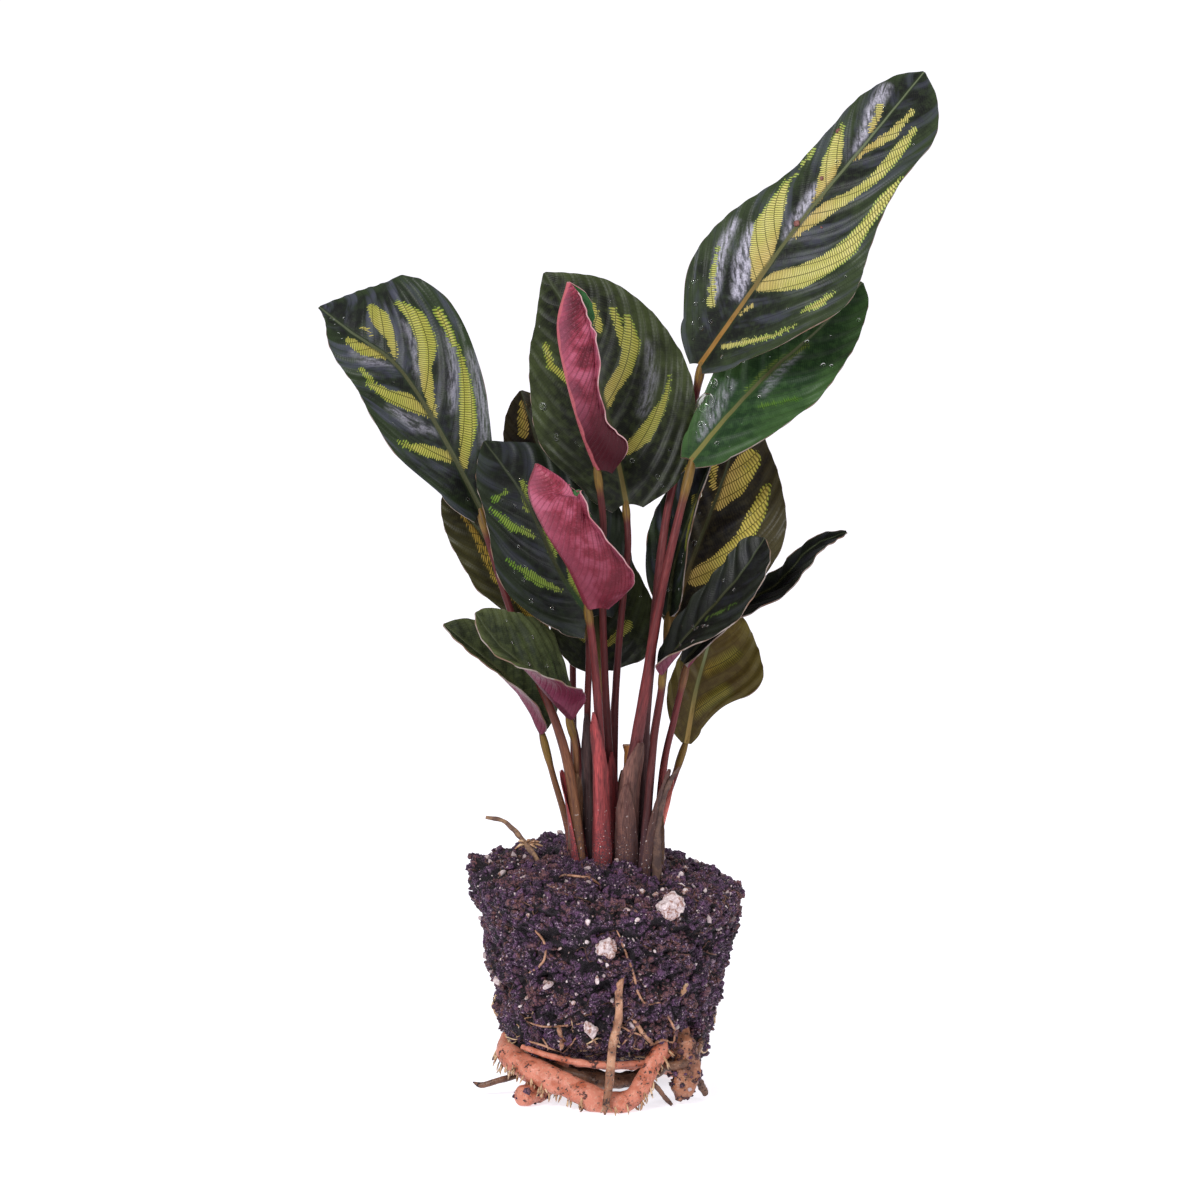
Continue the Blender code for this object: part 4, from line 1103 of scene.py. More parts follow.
def sweep(route, radius_at, sides, rings, lumps=0.0, lump_size=3.0):
    """Moves the rings of a cylinder onto a route; radius_at gives the radius at a share of its length."""
    piece = ringed_cylinder(sides, rings)
    frames = frames_along(route, 4 * rings)
    runs = []
    for vertex in piece.data.vertices:
        share = min(max(vertex.co.z, 0.0), 1.0)
        point, side, other, ahead = frames[round(share * 4 * rings)]
        turn = math.atan2(vertex.co.y, vertex.co.x)
        out = side * math.cos(turn) + other * math.sin(turn)
        radius = radius_at(share, turn)
        spot = point + out * radius
        if lumps:
            spot += out * radius * lumps * noise.noise(spot / lump_size)
        vertex.co = place(spot)
        runs.append((share, turn, 0.0))
    return piece, np.array(runs)


# %% [markdown]
# Three things give a stem its look: the swollen joint at its top, a groove down one side, and a foot that
# widens into a sheath. The radius at each ring follows the solid stem, with these added.

# %% Shape the stems
STEM_SIDES = 14
STEM_RINGS = 56


def dress(piece, tones, level, turns):
    """Gives a stem or sheath its tones, its heights above the soil and its finish."""
    kept = piece.data.attributes.new("tone", "FLOAT_COLOR", "POINT")
    kept.data.foreach_set("color", np.hstack([tones, np.ones((len(tones), 1))]).astype(np.float32).ravel())
    height = np.array([vertex.co.z / MM - level for vertex in piece.data.vertices])
    set_numbers(piece, "runs", np.stack([height, turns, turns * 0], 1))
    piece.data.materials.append(stem_skin)
    select_only(piece)
    bpy.ops.object.shade_smooth_by_angle(angle=math.radians(60))


def shape_stem(name, plan):
    blade = LEAVES[plan["carries"]]
    point, ahead, right, upper = rib_frame(blade, 0.0)
    end = point - upper * 0.7 + ahead * 1.2
    route = standing_route(plan["foot"], plan["via"]) + [end]
    spans = len(route) - 1
    length = sum((b - a).length for a, b in zip(route, route[1:]))
    low, high = plan["radii"]
    level = soil_height(*plan["foot"])

    def radius_at(share, turn):
        steady = min(1.0, max(0.0, (share * spans - 1) / (spans - 1)))
        radius = high + (low - high) * (1 - steady) ** 1.6
        from_top = (1 - share) * length
        radius *= 1 + 0.22 * math.exp(-(((from_top - 5.5) / 3.2) ** 4))
        radius *= 1 - 0.25 * math.exp(-((from_top / 1.3) ** 2))
        radius *= 1 - 0.12 * math.sin(math.pi * steady)
        return radius * (1 - 0.13 * math.exp(-((turn / 0.5) ** 2)))

    stem_lines[name] = (route, radius_at, level)
    piece, runs = sweep(route, radius_at, STEM_SIDES, STEM_RINGS, lumps=0.08, lump_size=9.0)
    top, middle, foot = (np.array(STEM_TONES[tone]) for tone in plan["colours"])
    share = runs[:, 0]
    from_top = (1 - share) * length
    joint = np.clip((JOINT_LENGTH + 2 - from_top) / 4, 0, 1)[:, None]
    down = np.clip((0.55 - share) / 0.35, 0, 1)[:, None]
    tones = middle * (1 - down) + foot * down
    tones = tones * (1 - joint) + top * joint
    dress(piece, tones, level, runs[:, 1])
    return hand_over(piece, name + "_skin", "stem_red", name)


stem_lines = {}
stems = {name: shape_stem(name, plan) for name, plan in STEMS.items()}

# %% [markdown]
# Old leaf bases clasp the stems as sheaths. Some are still coral red, others are brown and papery and end
# in a torn point that leans away. A sheath is a grid wrapped part of the way round its stem. Its sides
# draw together towards the point, and Solidify gives it a thin wall.

# %% Sheaths
SHEATHS = {
    # stem, first and last share of its length, opening, turn (-1.6 faces front), lean in mm, tone
    "sheath_brown": ("stem_right_upper", 0.05, 0.45, 2.7, -1.2, 0.8, "bark"),
    "sheath_brown_front": ("stem_right_upper", 0.05, 0.33, 1.5, -1.9, 2.2, "bark"),
    "sheath_red": ("stem_young_lower", 0.05, 0.60, 2.4, -2.2, 0.8, "rose"),
    "sheath_flap": ("stem_centre_top", 0.05, 0.29, 1.5, -0.9, 2.6, "papery"),
    "sheath_point": ("stem_right_dark", 0.05, 0.46, 1.7, -0.4, 4.5, "bark"),
    "sheath_point_short": ("stem_right_folded", 0.04, 0.36, 1.4, -1.0, 2.5, "bark"),
    "sheath_coral_left": ("stem_low_left", 0.08, 0.66, 1.5, 0.1, 1.4, "coral"),
    "sheath_coral_left_top": ("stem_left_top", 0.04, 0.30, 2.2, 2.6, 1.0, "rose"),
    "sheath_coral_right": ("stem_right_low", 0.10, 0.78, 1.8, -1.9, 1.0, "coral"),
    "sheath_tan": ("stem_front_left", 0.06, 0.62, 1.9, -1.5, 1.2, "papery"),
    "sheath_curled": ("stem_right_curled", 0.05, 0.40, 1.6, -1.6, 1.5, "papery"),
    "sheath_dark": ("stem_centre_left", 0.06, 0.62, 1.8, -1.7, 0.9, "dark"),
    "sheath_middle": ("stem_young_upper", 0.04, 0.34, 1.9, -1.3, 0.9, "rose"),
}
SHEATH_TONES = {
    "bark": (0.088, 0.045, 0.038),
    "rose": (0.185, 0.034, 0.037),
    "papery": (0.135, 0.075, 0.040),
    "coral": (0.600, 0.185, 0.155),
    "dark": (0.040, 0.024, 0.024),
}
SHEATH_WALL = 0.25


def shape_sheath(name, stem_name, first, last, opening, turn, lean, tone):
    route, radius_at, level = stem_lines[stem_name]
    count = 4 * STEM_RINGS
    frames = frames_along(route, count)
    bpy.ops.object.select_all(action="DESELECT")
    bpy.ops.mesh.primitive_grid_add(x_subdivisions=24, y_subdivisions=60, size=2.0)
    piece = bpy.context.object
    turns = []
    for vertex in piece.data.vertices:
        u, v = vertex.co.x, (vertex.co.y + 1) / 2
        tear = 0.05 * noise.noise(Vector((u * 5, first * 40, turn))) * v
        share = first + (last - first) * min(v + tear, 1.0)
        point, side, other, ahead = frames[round(share * count)]
        angle = turn + u * opening * (1 - 0.93 * v**2.6)
        out = side * math.cos(angle) + other * math.sin(angle)
        ripple = 0.22 * noise.noise(Vector((angle * 2.4, v * 5, first * 20)))
        away = radius_at(share, angle) + 0.3 + ripple + lean * v**3.2 + 0.35 * abs(u) ** 3
        vertex.co = place(point + out * max(away, 0.5))
        turns.append(angle)
    wall = piece.modifiers.new("wall", "SOLIDIFY")
    wall.thickness = SHEATH_WALL * MM
    wall.offset = 1.0
    apply_all(piece)
    turns = np.array((turns + turns)[: len(piece.data.vertices)])
    shade = 1 + 0.35 * np.sin(turns * 3 + first * 30)[:, None]
    dress(piece, np.array(SHEATH_TONES[tone]) * shade, level, turns)
    return hand_over(piece, name, "stem_red" if tone in ("rose", "coral") else "dry_sheath")


for name, plan in SHEATHS.items():
    shape_sheath(name, *plan)

# %% [markdown]
# Damp peat breaks into clods, the clods into crumbs, and the crumbs into fibres. The ball starts as a
# sphere of many rings and segments. Its points are moved onto the ball's outline, and three sizes of
# seeded noise push them out and in. Where a root lies on the ball, the soil is pressed in behind it.

# %% The ball's outline
BALL_FOOT_RADIUS = 32.5
BALL_FOOT_HEIGHT = 13.5
CLODS = (
    ((-43, 5, 76), 6.0, 6.5),
    ((42, 0, 67), 4.0, 6.0),
    ((40, -4, 52), 2.5, 8.0),
    ((-42, -4, 64), 2.0, 5.0),
    ((-17, 30, 78), 4.5, 7.0),
    ((28, 26, 74), 2.5, 8.0),
)
OUTLINE = (
    (0.0, 0.0, 0.0),
    (0.12, BALL_FOOT_RADIUS - 2.5, 0.0),
    (0.16, BALL_FOOT_RADIUS, 0.05),
    (0.66, BALL_TOP_RADIUS, 0.95),
    (0.70, BALL_TOP_RADIUS - 2.5, 1.0),
    (1.0, 0.0, 1.0),
)


def foot_height(y):
    """The height of the ball's underside: the front has crumbled away above its roots."""
    share = min(max((12 - y) / 40, 0.0), 1.0)
    return 5.5 + BALL_FOOT_HEIGHT * share * share * (3 - 2 * share)


def outline_at(share):
    for low, high in zip(OUTLINE, OUTLINE[1:]):
        if share <= high[0]:
            break
    k = (share - low[0]) / (high[0] - low[0])
    return low[1] + (high[1] - low[1]) * k, low[2] + (high[2] - low[2]) * k


def ball_point(share, turn):
    radius, level = outline_at(share)
    x, y = radius * math.cos(turn), radius * math.sin(turn)
    low, high = foot_height(y), soil_height(x, y)
    return Vector((x, y, low + (high - low) * level))


# %% Routes of the roots
ROOTS = {
    "root_front": (
        ((-33, -6, 19), (-32, -13, 15), (-27, -20, 12), (-20, -26, 10), (-12, -30, 7.5), (-3, -33, 3.6),
         (4, -34, 2.9), (9, -33, 5), (13, -30, 11), (17, -26, 18), (18, -22, 24)),
        (2.8, 3.8, 4.1, 4.1, 4.0, 3.9, 3.7, 3.3, 3.0, 2.8, 2.2),
        "root_orange",
    ),
    "root_front_thin": (
        ((6, -36.5, 45), (4, -37.6, 41), (4, -36.6, 32), (2, -36.6, 22), (1, -38.2, 11), (0, -39.6, 5),
         (-0.5, -39.8, 0.5)),
        (0.5, 1.2, 1.3, 1.4, 1.3, 1.2, 1.0),
        "root_brown",
    ),
    "root_left": (
        ((-12, -11, 16), (-16, -15, 8), (-20, -19, 3.8), (-26, -25.5, 3.3), (-28, -27.5, 3.4)),
        (2.2, 2.6, 2.8, 3.6, 2.0),
        "root_orange",
    ),
    "root_right": (
        ((19, -13, 26), (24, -17, 20), (26, -20, 13), (25, -22, 7), (23, -24, 1.2)),
        (2.0, 4.0, 4.8, 4.2, 3.0),
        "root_brown",
    ),
    "root_side": (
        ((-43, -12, 4.5), (-40, -13, 3.8), (-35, -13, 5.2), (-30, -12, 6.5), (-24, -9, 9), (-18, -6, 14)),
        (0.6, 0.9, 1.0, 1.0, 1.0, 0.9),
        "root_brown",
    ),
}
ROOT_BACK_RADIUS = 26.5
ROOT_BACK_HALF_WIDTH = 3.3
ROOT_BACK_ANGLES = (-8, 188)
ROOT_BACK_LIFT = 7.0
ROOT_SAMPLES = 12


def back_root_route():
    first, last = ROOT_BACK_ANGLES
    points = []
    for i in range(ROOT_SAMPLES + 1):
        share = i / ROOT_SAMPLES
        turn = math.radians(first + (last - first) * share)
        lift = ROOT_BACK_LIFT * abs(2 * share - 1) ** 4
        points.append((ROOT_BACK_RADIUS * math.cos(turn), ROOT_BACK_RADIUS * math.sin(turn), 2.7 + lift))
    return points


ROOTS["root_back"] = (back_root_route(), [ROOT_BACK_HALF_WIDTH] * (ROOT_SAMPLES + 1), "root_orange")

# %% Finish of the roots
ROOT_TONES = {
    "root_orange": ((0.52, 0.180, 0.118), (0.36, 0.095, 0.050), (0.62, 0.35, 0.25)),
    "root_brown": ((0.17, 0.080, 0.048), (0.085, 0.038, 0.024), (0.32, 0.19, 0.115)),
    "root_russet": ((0.30, 0.120, 0.066), (0.13, 0.048, 0.028), (0.46, 0.26, 0.17)),
    "root_tan": ((0.42, 0.215, 0.130), (0.20, 0.083, 0.044), (0.62, 0.43, 0.31)),
    "root_cream": ((0.58, 0.40, 0.240), (0.36, 0.19, 0.10), (0.70, 0.56, 0.40)),
}


def root_finish(name, base, deep, pale):
    made, tree, shader = new_finish(name)
    cloud = grain(tree, 5.0, 4.0)
    fine = grain(tree, 0.8, 3.0)
    surface = paint(tree, ease(tree, cloud, 0.42, 0.62), base, deep)
    surface = paint(tree, calc(tree, "MULTIPLY", ease(tree, fine, 0.5, 0.7), 0.6), surface, pale)
    specks = ease(tree, calc(tree, "MULTIPLY_ADD", cloud, 0.45, grain(tree, 0.8, 4.0)), 0.84, 0.90)
    patches = times(tree, ease(tree, grain(tree, 3.4, 4.0), 0.59, 0.64), ease(tree, fine, 0.42, 0.5))
    dirt = calc(tree, "MAXIMUM", specks, patches)
    surface = paint(tree, calc(tree, "MULTIPLY", dirt, 0.92), surface, (0.022, 0.012, 0.016))
    link(tree, surface, shader, "Base Color")
    link(tree, calc(tree, "MULTIPLY_ADD", dirt, 0.45, 0.34), shader, "Roughness")
    shader.inputs["Specular IOR Level"].default_value = 0.35
    relief = calc(tree, "MULTIPLY_ADD", fine, 0.6, calc(tree, "MULTIPLY", dirt, 0.8))
    bump(tree, shader, relief, 0.7, 0.5)
    return made


root_skins = {name: root_finish(name + "_skin", *tones) for name, tones in ROOT_TONES.items()}

# %% Shape the roots
OWN_TONES = {"root_front_thin": "root_tan", "root_right": "root_russet"}
root_pieces = {}
for name, (points, radii, slot) in ROOTS.items():
    route = [Vector(point) for point in points]

    def radius_at(share, turn, radii=list(radii)):
        knots = 1 + 0.03 * math.sin(share * 43) + 0.02 * math.sin(share * 97 + turn)
        end = min(1.0, 6 * share + 0.35, 6 * (1 - share) + 0.35)
        return max(along(radii, share), 0.2) * knots * end

    rings = 110 if name == "root_back" else 72
    lumps = 0.5 if name == "root_right" else 0.2
    piece, runs = sweep(route, radius_at, 20, rings, lumps=lumps, lump_size=4.5)
    for vertex in piece.data.vertices:
        vertex.co.z = max(vertex.co.z, 0.0002)
    piece.data.materials.append(root_skins[OWN_TONES.get(name, slot)])
    select_only(piece)
    bpy.ops.object.shade_smooth_by_angle(angle=math.radians(60))
    root_pieces[name] = hand_over(piece, name + "_skin", slot, name)

# %% [markdown]
# The soil has to stay behind the roots that lie on it. From the ball's axis a line is sent out through
# every point of the soil. Where it meets a root, the point is drawn back to the root's middle, so the root
# lies half sunk in the soil as it grew.

# %% Shape the soil
SOIL_SEGMENTS = 380
SOIL_RINGS = 230
CLOD_SIZE, CLOD_DEPTH = 9.0, 2.0
CRUMBLE_SIZE, CRUMBLE_DEPTH = 3.5, 0.55
LUMP_SIZE, LUMP_DEPTH = 4.2, 1.6
CRUMB_SIZE, CRUMB_DEPTH = 1.7, 1.15


def cell_lump(point, size):
    """Rounded lumps with narrow cracks between them, from 0 in a crack to 1 on a lump."""
    near = noise.voronoi(point / size)[0]
    return min((near[1] - near[0]) * 2.2, 1.0) ** 0.6


def root_tree():
    verts, faces = [], []
    for piece in root_pieces.values():
        start = len(verts)
        verts += [vertex.co.copy() for vertex in piece.data.vertices]
        faces += [[start + i for i in face.vertices] for face in piece.data.polygons]
    return BVHTree.FromPolygons(verts, faces)


bpy.ops.object.select_all(action="DESELECT")
bpy.ops.mesh.primitive_uv_sphere_add(segments=SOIL_SEGMENTS, ring_count=SOIL_RINGS, radius=1.0)
soil = bpy.context.object
roots_near = root_tree()
rises = []
axis = place((0, 0, 0))
for vertex in soil.data.vertices:
    share = 1 - math.acos(min(max(vertex.co.z, -1.0), 1.0)) / math.pi
    point = ball_point(share, math.atan2(vertex.co.y, vertex.co.x))
    for middle, height, spread in CLODS:
        away = (point - Vector(middle)).length / spread
        out = (Vector(middle) - Vector((0, 0, 45))).normalized()
        point += out * height * math.exp(-away * away)
    point += noise.noise_vector(point / CLOD_SIZE) * CLOD_DEPTH
    point += noise.noise_vector(point / CRUMBLE_SIZE) * CRUMBLE_DEPTH
    out = Vector((point.x, point.y, (point.z - 45) * 1.3)).normalized()
    rough = 0.5 + noise.noise(point / 14.0 + Vector((3, 1, 7)))
    lump = (cell_lump(point, LUMP_SIZE) - 0.62) * LUMP_DEPTH * (0.55 + 0.9 * rough)
    crumb = (cell_lump(point + Vector((5, 2, 8)), CRUMB_SIZE) - 0.6) * CRUMB_DEPTH
    pit = min(0.0, noise.noise(point / 5.0 + Vector((9, 4, 2))) + 0.1) * 5.5
    rises.append((lump / LUMP_DEPTH + 0.62, crumb / CRUMB_DEPTH + 0.6, pit))
    point += out * (lump + crumb + pit)
    spot = place(point)
    flat = Vector((spot.x - axis.x, spot.y - axis.y, 0))
    reach = flat.length
    if reach > 0.012:
        way = flat.normalized()
        start = Vector((axis.x, axis.y, spot.z)) + way * 0.006
        hit = roots_near.ray_cast(start, way, reach - 0.006 + 0.0008)
        if hit[0] is not None:
            front = roots_near.ray_cast(hit[0] + way * 0.0001, way, 0.02)
            depth = (front[0] - hit[0]).length * 0.5 if front[0] is not None else 0.001
            spot = hit[0] + way * depth
    spot.z = max(spot.z, 0.0012)
    vertex.co = spot
# The lump, crumb and pit numbers are kept for the finish, which paints shade into the hollows with them.
set_numbers(soil, "rise", rises)
select_only(soil)
bpy.ops.object.shade_smooth_by_angle(angle=math.radians(75))


def peat_finish():
    made, tree, shader = new_finish("peat")
    lump, crumb, pit = split(tree, "rise")
    cloud = grain(tree, 7.0, 4.0)
    fine = grain(tree, 0.9, 5.0, rough=0.75)
    dust = grain(tree, 0.45, 2.0)
    surface = paint(tree, ease(tree, fine, 0.42, 0.62), (0.009, 0.003, 0.010), (0.128, 0.046, 0.132))
    rust = times(tree, ease(tree, cloud, 0.46, 0.60), ease(tree, grain(tree, 1.3, 4.0), 0.50, 0.58), 0.85)
    surface = paint(tree, rust, surface, (0.150, 0.055, 0.040))
    # The pale specks are partly painted glints of damp peat and partly specks of perlite dust.
    pale = times(tree, ease(tree, fine, 0.55, 0.61), ease(tree, dust, 0.55, 0.63), 0.9)
    surface = paint(tree, pale, surface, (0.62, 0.50, 0.57))
    # Painted shade: the cracks between lumps and crumbs, and the pits, are darkened towards black.
    hollow = calc(tree, "MULTIPLY_ADD", crumb, 0.5, times(tree, lump, 0.6))
    hollow = calc(tree, "MULTIPLY_ADD", pit, 0.5, hollow)
    surface = paint(tree, ease(tree, hollow, 0.86, 0.30, 0.0, 0.96), surface, (0.004, 0.002, 0.004))
    link(tree, surface, shader, "Base Color")
    link(tree, ease(tree, dust, 0.40, 0.62, 0.85, 0.30), shader, "Roughness")
    shader.inputs["Specular IOR Level"].default_value = 0.4
    bump(tree, shader, calc(tree, "MULTIPLY_ADD", dust, 0.4, fine), 1.0, 0.7)
    return made


peat = peat_finish()
soil.data.materials.append(peat)
hand_over(soil, "soil_ball", "peat", "soil")

# %% [markdown]
# Loose crumbs stick out all over the ball, and white grains of perlite sit among them. One crumb is made
# from a small ball of twenty faces, and hundreds of copies of it are turned, stretched and set on the
# soil, all in one mesh. Each copy carries a random number, so that its finish differs from the next.

# %% Scatter helper
RANDOM = np.random.default_rng(11)


def surface_spots(piece, count, keep=lambda spot, normal: True):
    """Random places on a piece's faces, as (place, normal) pairs, by area."""
    mesh = piece.data
    areas = np.array([face.area for face in mesh.polygons])
    order = RANDOM.choice(len(areas), size=count * 6, p=areas / areas.sum())
    spots = []
    for i in order:
        face = mesh.polygons[int(i)]
        if keep(face.center, face.normal):
            spots.append((face.center.copy(), face.normal.copy()))
        if len(spots) == count:
            break
    return spots


def small_grain(faces_level=1):
    bpy.ops.object.select_all(action="DESELECT")
    bpy.ops.mesh.primitive_ico_sphere_add(subdivisions=faces_level, radius=1.0)
    model = bpy.context.object
    points = np.array([vertex.co[:] for vertex in model.data.vertices])
    faces = [list(face.vertices) for face in model.data.polygons]
    bpy.data.objects.remove(model)
    return points, faces


def chipped(ways, cuts, random):
    """How far out a broken stone reaches in each direction: it is cut by planes at random."""
    planes = random.normal(0, 1, (cuts, 3))
    planes /= np.linalg.norm(planes, axis=1)[:, None]
    facing = np.maximum(ways @ planes.T, 0.05)
    return np.min((0.62 + 0.4 * random.random(cuts)) / facing, axis=1).clip(0.3, 1.25)


def turned(points, stretch, turn_seed, rough):
    """A copy of a grain's points, chipped, stretched and turned at random."""
    dents = (chipped(points, 14, RANDOM) + rough * RANDOM.random(len(points)))[:, None]
    turn = np.array(Matrix.Rotation(turn_seed[0] * math.tau, 3, Vector(turn_seed[1:]).normalized()))
    return (points * dents * stretch) @ turn.T


def scatter(name, spots, sizes, model, sink, rough=0.12):
    points, faces = model
    verts, polys, dice = [], [], []
    for (spot, normal), size in zip(spots, sizes):
        stretch = 0.5 + RANDOM.random(3) * (0.7 + rough)
        turn_seed = (RANDOM.random(), *(RANDOM.random(3) + 0.01))
        copy = turned(points, stretch, turn_seed, rough) * size * MM
        start = len(verts)
        verts += [tuple(row) for row in copy + np.array(spot) + np.array(normal) * size * MM * (0.5 - sink)]
        polys += [[start + i for i in face] for face in faces]
        dice += [RANDOM.random()] * len(points)
    mesh = bpy.data.meshes.new(name)
    mesh.from_pydata(verts, [], polys)
    mesh.update()
    piece = bpy.data.objects.new(name, mesh)
    bpy.context.scene.collection.objects.link(piece)
    dice = np.array(dice)
    set_numbers(piece, "dice", np.stack([dice, dice * 0, dice * 0], 1))
    return piece


def keep_above_floor(piece):
    for vertex in piece.data.vertices:
        vertex.co.z = max(vertex.co.z, 0.0002)


# %% Crumbs of peat
CRUMBS = 8400
ROOT_CRUMBS = {"root_right": 170, "root_left": 50, "root_back": 200}
crumb_model = small_grain()
spots = surface_spots(soil, CRUMBS, lambda spot, normal: normal.z > -0.6)
sizes = list(0.22 + 0.85 * RANDOM.random(CRUMBS) ** 3)
for root, count in ROOT_CRUMBS.items():
    spots += surface_spots(root_pieces[root], count)
    sizes += list(0.25 + 0.6 * RANDOM.random(count) ** 2)
crumbs = scatter("soil_crumbs", spots, sizes, crumb_model, 0.25, 0.45)
keep_above_floor(crumbs)


def crumb_finish():
    made, tree, shader = new_finish("peat_crumbs")
    chance = split(tree, "dice")[0]
    fine = grain(tree, 0.5, 4.0, rough=0.7)
    cloud = grain(tree, 7.0, 4.0)
    lit = ease(tree, calc(tree, "MULTIPLY_ADD", chance, 0.10, fine), 0.47, 0.68)
    surface = paint(tree, lit, (0.009, 0.003, 0.010), (0.128, 0.047, 0.132))
    rusty = times(tree, ease(tree, cloud, 0.46, 0.58), ease(tree, fine, 0.46, 0.54), 0.8)
    surface = paint(tree, rusty, surface, (0.16, 0.058, 0.038))
    surface = paint(tree, ease(tree, chance, 0.976, 0.982), surface, (0.46, 0.36, 0.37))
    link(tree, surface, shader, "Base Color")
    link(tree, ease(tree, fine, 0.40, 0.60, 0.85, 0.45), shader, "Roughness")
    bump(tree, shader, fine, 1.0, 0.5)
    return made


crumbs.data.materials.append(crumb_finish())
hand_over(crumbs, "soil_crumbs", "peat")

# %% Perlite
PERLITE = {
    "perlite_large": ((21, -36.0, 67), 4.0),
    "perlite_front": ((0.5, -39.6, 55), 3.0),
    "perlite_low": ((-5, -35.2, 27), 2.3),
}
CHIPS_SEEN = (
    ((685, 893), 1.7), ((609, 954), 1.7), ((588, 921), 1.2), ((587, 942), 0.9), ((640, 893), 1.3), ((648, 900), 1.1),
    ((640, 906), 1.2), ((637, 920), 0.9), ((590, 1031), 1.4), ((573, 1003), 0.9), ((528, 998), 1.2), ((548, 985), 1.9),
    ((503, 873), 1.2), ((497, 980), 1.2), ((663, 890), 1.3), ((655, 895), 0.8), ((600, 960), 0.9), ((560, 948), 0.8),
    ((521, 1006), 0.8), ((566, 1015), 0.7), ((640, 973), 0.7), ((612, 1000), 0.8), ((700, 905), 0.9), ((528, 915), 0.8),
)
HUSK_SEEN = (684, 990)
HUSK_HALF = (1.25, 0.9, 2.8)
CHIPS = 190
DUST = 1100


def perlite_finish():
    made, tree, shader = new_finish("perlite_white")
    fine = grain(tree, 0.7, 4.0)
    cloud = grain(tree, 2.4, 3.0)
    surface = paint(tree, ease(tree, fine, 0.3, 0.7), (0.46, 0.35, 0.36), (0.74, 0.65, 0.65))
    stain = times(tree, ease(tree, cloud, 0.47, 0.56), ease(tree, fine, 0.38, 0.56), 0.9)
    surface = paint(tree, stain, surface, (0.20, 0.065, 0.03))
    link(tree, surface, shader, "Base Color")
    shader.inputs["Roughness"].default_value = 0.85
    bump(tree, shader, fine, 0.9, 0.5)
    return made


perlite_white = perlite_finish()
for name, (middle, radius) in PERLITE.items():
    bpy.ops.object.select_all(action="DESELECT")
    bpy.ops.mesh.primitive_ico_sphere_add(subdivisions=5, radius=1.0)
    piece = bpy.context.object
    ways = []
    for vertex in piece.data.vertices:
        ways.append(vertex.co.normalized())
    reach = 1.08 * chipped(np.array(ways), 17, np.random.default_rng(len(name)))
    for vertex, way, size in zip(piece.data.vertices, ways, reach):
        size += noise.noise(way * 2.6 + Vector(middle)) * 0.2 + noise.noise(way * 7) * 0.07
        vertex.co = place(Vector(middle) + way * radius * size)
    piece.data.shade_smooth()
    piece.data.materials.append(perlite_white)
    hand_over(piece, name + "_grain", "perlite", name)

soil_tree = BVHTree.FromPolygons(
    [vertex.co.copy() for vertex in soil.data.vertices], [list(face.vertices) for face in soil.data.polygons]
)


def seen_at(pixel):
    """The place on the soil, and the soil's normal there, behind a pixel of the 1200-pixel frame."""
    across, up = (pixel[0] - 600) * 36.0 / 1200, (600 - pixel[1]) * 36.0 / 1200
    way = camera.rotation_euler.to_matrix() @ Vector((across, up, -LENS))
    spot, normal, _, _ = soil_tree.ray_cast(camera.location, way.normalized())
    return spot, normal


spots = [seen_at(pixel) for pixel, size in CHIPS_SEEN]
sizes = [size for pixel, size in CHIPS_SEEN]
spots += surface_spots(soil, CHIPS, lambda spot, normal: normal.z > -0.4)
sizes += list(0.35 + 0.8 * RANDOM.random(CHIPS) ** 3)
chips = scatter("perlite_chips", spots, sizes, small_grain(2), 0.2)
keep_above_floor(chips)
chips.data.materials.append(perlite_white)
hand_over(chips, "perlite_chips", "perlite")
spots = surface_spots(soil, DUST, lambda spot, normal: normal.z > -0.5)
dust = scatter("perlite_dust", spots, list(0.14 + 0.28 * RANDOM.random(DUST) ** 2), small_grain(1), 0.0)
keep_above_floor(dust)
dust.data.materials.append(perlite_white)
hand_over(dust, "perlite_dust", "perlite")

# %% A dry husk in the soil
bpy.ops.object.select_all(action="DESELECT")
bpy.ops.mesh.primitive_uv_sphere_add(segments=24, ring_count=16, radius=1.0)
husk = bpy.context.object
spot, normal = seen_at(HUSK_SEEN)
facing = normal.to_track_quat("-Y", "Z")
for vertex in husk.data.vertices:
    x, y, z = vertex.co
    slim = 1 - 0.3 * z * z + 0.2 * z
    half = Vector((x * HUSK_HALF[0] * slim, y * HUSK_HALF[1] * slim, z * HUSK_HALF[2]))
    vertex.co = spot + (facing @ half) * MM
husk.data.shade_smooth()
husk.data.materials.append(root_skins["root_cream"])
hand_over(husk, "dry_husk", "dry_sheath")

# %% [markdown]
# Thin roots and fibres run over the ball and hang out at its foot. A thin root is a line that walks over
# the soil in short steps, turning a little at each. All of them are splines of one curve, which gives them
# their thickness and is then turned into a mesh.

# %% Fibres and rootlets
def walk(tree, spot, way, length, step, wander, lift):
    """Points of a line that keeps to the surface of the soil."""
    points = []
    for _ in range(int(length / step)):
        near, normal, _, _ = tree.find_nearest(spot)
        points.append(near + normal * lift)
        way = way - normal * way.dot(normal)
        way = (way + Vector(RANDOM.normal(0, wander, 3))).normalized()
        spot = near + way * step
    return points


